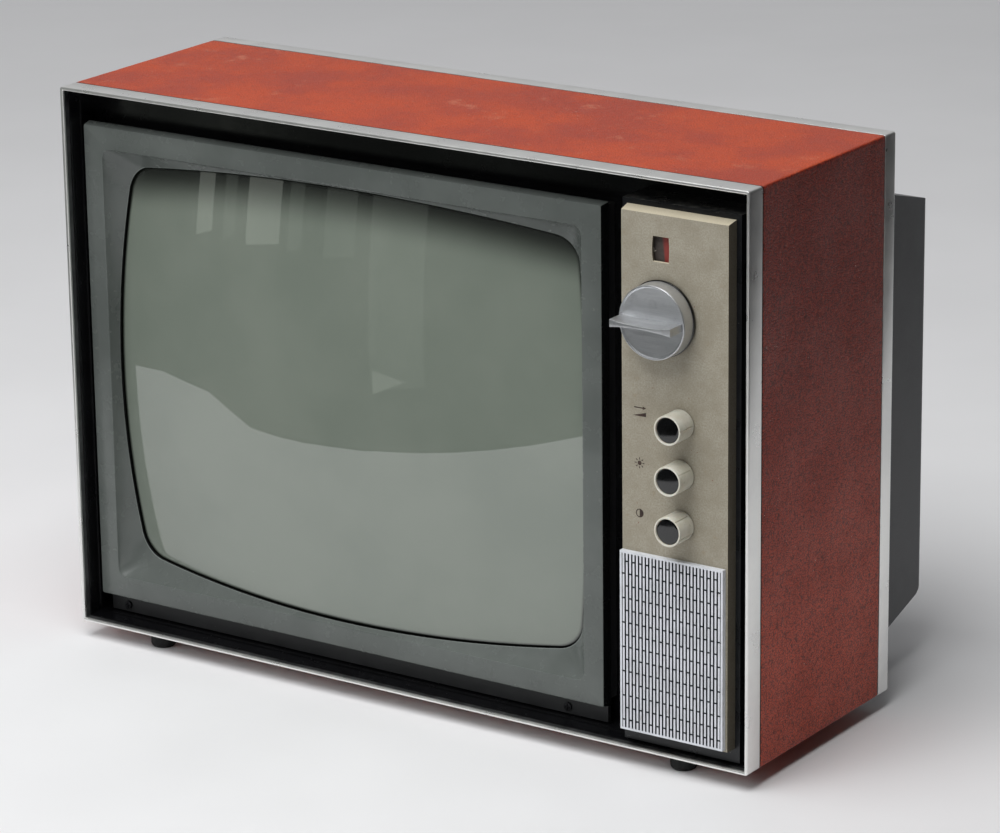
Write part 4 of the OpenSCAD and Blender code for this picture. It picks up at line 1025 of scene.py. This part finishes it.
def build_small_knobs():
    splits = {"volume": (4, 82), "brightness": (32, -34), "contrast": (50, -24)}
    for control, lines in splits.items():
        node = control + "_knob"
        axis = middle_of(node)
        low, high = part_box(node)
        r = (high.x - low.x) / 2
        sleeve = filleted([(0, low.y + 1.6 * MM), (r - 1.3 * MM, low.y + 1.6 * MM),
                           (r - 1.2 * MM, low.y), (r - 0.05 * MM, low.y), (r, low.y + 0.8 * MM),
                           (r, high.y), (3.2 * MM, high.y), (0, high.y)], 0.35 * MM, loop=False)
        make(node + "_skin", knob_shape(axis, sleeve, lines), "knob_ivory", [node], body=control)
        low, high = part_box(node + "_cap")
        r = (high.x - low.x) / 2
        inset = filleted([(0, low.y), (r - 1.0 * MM, low.y + 0.25 * MM), (r, low.y + 0.7 * MM),
                          (r, high.y), (0, high.y)], 0.4 * MM, loop=False)
        make(node + "_cap_skin", turned(axis.x, axis.z, inset, 96), "knob_black",
             [node + "_cap"], body=control)


def number_shape(text, size, height):
    """A number's outline as a mesh, standing up and facing the front, its middle at zero."""
    curve = bpy.data.curves.new("number", "FONT")
    curve.body = text
    curve.size = size
    curve.extrude = height
    curve.resolution_u = 4
    curve.align_x = "CENTER"
    curve.align_y = "CENTER"
    holder = placed("number", curve)
    bpy.context.view_layer.update()
    shown = holder.evaluated_get(bpy.context.evaluated_depsgraph_get())
    mesh = bpy.data.meshes.new_from_object(shown)
    vertices = [(v.co.x, -v.co.z, v.co.y) for v in mesh.vertices]
    faces = [tuple(p.vertices) for p in mesh.polygons]
    bpy.data.objects.remove(holder)
    bpy.data.meshes.remove(mesh)
    return vertices, faces


def build_dial():
    """A disc with twelve channel numbers and an empty place at rest."""
    middle = middle_of("channel_dial")
    radius = (DIAL_HIGH.x - DIAL_LOW.x) / 2
    disc = filleted([(1.6 * MM, DIAL_LOW.y), (radius, DIAL_LOW.y), (radius, DIAL_HIGH.y),
                     (1.6 * MM, DIAL_HIGH.y)], 0.15 * MM)
    angles = [math.tau * k / 128 for k in range(128)]
    rings = [[(middle.x + r * math.cos(a), y, middle.z + r * math.sin(a)) for a in angles]
             for r, y in disc]
    make("channel_dial_skin", lofted(rings, loop=True), "dial_plastic", ["channel_dial"],
         body="dial")
    places = 14
    number_r = 15.5 * MM
    shapes = []
    for channel in range(1, 13):
        turn = math.tau * (channel + 0.5) / places
        vertices, faces = number_shape(str(channel), 5 * MM, 0.03 * MM)
        points = []
        for vx, vy, vz in vertices:
            out = vz + number_r
            points.append((middle.x + out * math.sin(turn) + vx * math.cos(turn), DIAL_LOW.y + vy,
                           middle.z + out * math.cos(turn) - vx * math.sin(turn)))
        shapes.append((points, faces))
    make("dial_numbers", joined(shapes), "dial_plastic", body="dial", paint=DIAL_INK)


def build_softened():
    """CAD pieces whose shape is right and only need rounded edges."""
    for node, width in {"front_baffle": 0.3, "mask_mount": 0.6, "control_plinth": 0.8,
                        "control_panel": 0.5, "rear_cover": 0.8, "neck_cup": 1.2,
                        "mains_inlet": 0.5, "aerial_socket": 0.4, "bezel_screws": 0.15}.items():
        softened(node, width * MM)


# ---------- stage ----------

# The dark room that the glass shows, the panes in it and the dark card to the right, in metres
ROOM_AWAY = 0.44
ROOM_HALF = 2.2
ROOM_TOP = 2.4
ROOM_EDGE_STEPS = 60
PANE_AWAY = 0.435
SPOT_AWAY = 0.43
FLAG_AWAY = 0.42
FLAG_LOW = 0.08
FLAG_TOP = 2.2
FLOOR_R = 14.0


def build_camera():
    """The camera stands right of the front and above, and leans by a small roll."""
    azimuth, elevation, roll = 0.5998, 0.3038, -0.0130
    distance = 2.989
    aim = Vector((0.0299, FRONT_Y + 0.0825, TRIM_LOW.z + 0.1802))
    level = math.cos(elevation)
    back = Vector((math.sin(azimuth) * level, -math.cos(azimuth) * level, math.sin(elevation)))
    data = bpy.data.cameras.new("camera")
    data.lens = 159.4
    data.sensor_width = 36.0
    camera = placed("camera", data)
    camera.location = aim + back * distance
    turn = (-back).to_track_quat("-Z", "Y").to_matrix()
    camera.rotation_euler = (turn @ Matrix.Rotation(roll, 3, "Z")).to_euler()
    bpy.context.scene.camera = camera


def stage_sheet(name, corners, material, ghost=False):
    """A flat sheet of the stage. A ghost shows only in what shines."""
    mesh = bpy.data.meshes.new(name)
    mesh.from_pydata(corners, [], [tuple(range(len(corners)))])
    mesh.materials.append(material)
    sheet = placed(name, mesh)
    if ghost:
        sheet.visible_camera = False
        sheet.visible_diffuse = False
        sheet.visible_shadow = False
    return sheet


def glowing(name, colour, strength):
    material = bpy.data.materials.new(name)
    material.use_nodes = True
    tree = material.node_tree
    tree.nodes.clear()
    glow = tree.nodes.new("ShaderNodeEmission")
    glow.inputs["Color"].default_value = shade(colour)
    glow.inputs["Strength"].default_value = strength
    out = tree.nodes.new("ShaderNodeOutputMaterial")
    tree.links.new(glow.outputs[0], out.inputs[0])
    return material


def upright(foot, facing, points):
    """The corners of an upright sheet from (sideways, height), about a foot on the floor."""
    side = Vector((-facing.y, facing.x, 0))
    return [foot + side * along + Vector((0, 0, height)) for along, height in points]


def room_edge():
    """The room's lower edge: a low curve that climbs to a level stretch on the left."""
    edge = []
    for k in range(ROOM_EDGE_STEPS + 1):
        side = ROOM_HALF * math.sin(0.5 * math.pi * (1 - 2 * k / ROOM_EDGE_STEPS)) ** 3
        steep = max(0.0, -0.12 - side)
        rise = 0.010 + 0.28 * (side - 0.10) ** 2 + 4.5 * steep ** 2
        edge.append((side, min(0.085, rise)))
    return edge


def build_reflections():
    """What the glass shows: a dark room over the bright floor, with pale windows in it."""
    facing = Vector((-0.539, -0.788, 0.0)).normalized()
    foot = Vector((SCREEN_X, FRONT_Y, 0.0))
    dark = glowing("dark_room", "2B2E2B", 1.0)
    room = [*room_edge(), (-ROOM_HALF, ROOM_TOP), (ROOM_HALF, ROOM_TOP)]
    stage_sheet("room_front", upright(foot + facing * ROOM_AWAY, facing, room), dark, ghost=True)
    pale = glowing("window_pane", "BCC2B8", 1.0)
    soft = glowing("pale_wall", "6C726B", 1.0)

    def pane(start, width, material, low=0.255, height=0.16):
        corners = [(start, low), (start + width, low + 0.008), (start + width, low + height),
                   (start, low + height)]
        place = foot + facing * PANE_AWAY
        stage_sheet("pane", upright(place, facing, corners), material, ghost=True)

    pane(-0.215, 0.023, pale)
    pane(-0.176, 0.017, soft)
    pane(-0.142, 0.048, pale)
    pane(-0.082, 0.020, soft)
    pane(-0.030, 0.044, soft, height=0.10)
    pane(0.036, 0.080, soft, low=0.095, height=0.30)
    spot = [(0.038, 0.092), (0.087, 0.110), (0.040, 0.122)]
    place = foot + facing * SPOT_AWAY
    stage_sheet("bright_spot", upright(place, facing, spot), pale, ghost=True)


def build_flag():
    """A dark card to the right, which shades the cabinet's side and its trims."""
    foot = Vector((TRIM_HIGH.x + FLAG_AWAY, 0, 0))
    front, back = -0.8, 1.4
    corners = [(front, FLAG_LOW), (back, FLAG_LOW), (back, FLAG_TOP), (front, FLAG_TOP)]
    flag = stage_sheet("room_right", upright(foot, Vector((1, 0, 0)), corners),
                       glowing("dark_side", "131212", 1.0), ghost=True)
    flag.visible_diffuse = True


def build_stage():
    floor = moulded("floor", "EBEBEC", "EEEEEF", 0.6, patch=400.0, grain=3.0, relief=0.01)
    rim = arc_points(Vector((0, 0)), FLOOR_R, 0.0, math.tau, 48)[:-1]
    stage_sheet("floor", [(x, y, 0) for x, y in rim], floor.material)


def area_light(name, place, aim, width, height, power, colour="FFFFFF"):
    data = bpy.data.lights.new(name, "AREA")
    data.shape = "RECTANGLE"
    data.size = width
    data.size_y = height
    data.energy = power
    data.color = shade(colour)[:3]
    light = placed(name, data)
    light.location = place
    light.rotation_euler = (Vector(aim) - Vector(place)).to_track_quat("-Z", "Y").to_euler()


def build_sky():
    """The air is bright towards the front left and above, and dark towards the right."""
    world = bpy.data.worlds.new("studio")
    bpy.context.scene.world = world
    world.use_nodes = True
    tree = world.node_tree
    air = tree.nodes["Background"]
    place = tree.nodes.new("ShaderNodeTexCoord")
    facing = tree.nodes.new("ShaderNodeVectorMath")
    facing.operation = "DOT_PRODUCT"
    facing.inputs[1].default_value = Vector((-0.72, -0.12, 0.60)).normalized()
    tree.links.new(place.outputs["Generated"], facing.inputs[0])
    share = tree.nodes.new("ShaderNodeMapRange")
    share.interpolation_type = "SMOOTHSTEP"
    share.inputs["From Min"].default_value = -0.5
    share.inputs["To Min"].default_value = 0.05
    share.inputs["To Max"].default_value = 0.52
    tree.links.new(facing.outputs["Value"], share.inputs["Value"])
    tree.links.new(share.outputs["Result"], air.inputs["Strength"])
    air.inputs["Color"].default_value = (0.98, 0.985, 1.0, 1.0)


def build_lights():
    build_sky()
    area_light("overhead", (0.08, -1.2, 2.5), (0.05, -0.4, 0.0), 1.6, 2.0, 62)
    area_light("window", (-1.8, -2.4, 1.6), (0, 0, 0.2), 1.4, 1.2, 5, "FAFCFF")
    bpy.context.scene.view_settings.view_transform = "Standard"


build_camera()
finish_cad_nodes()
build_trims()
build_leathercloth()
build_feet()
build_bezel()
build_faceplate()
build_gasket()
build_marks()
build_tuner_knob()
build_small_knobs()
build_dial()
build_softened()
build_stage()
build_reflections()
build_flag()
build_lights()
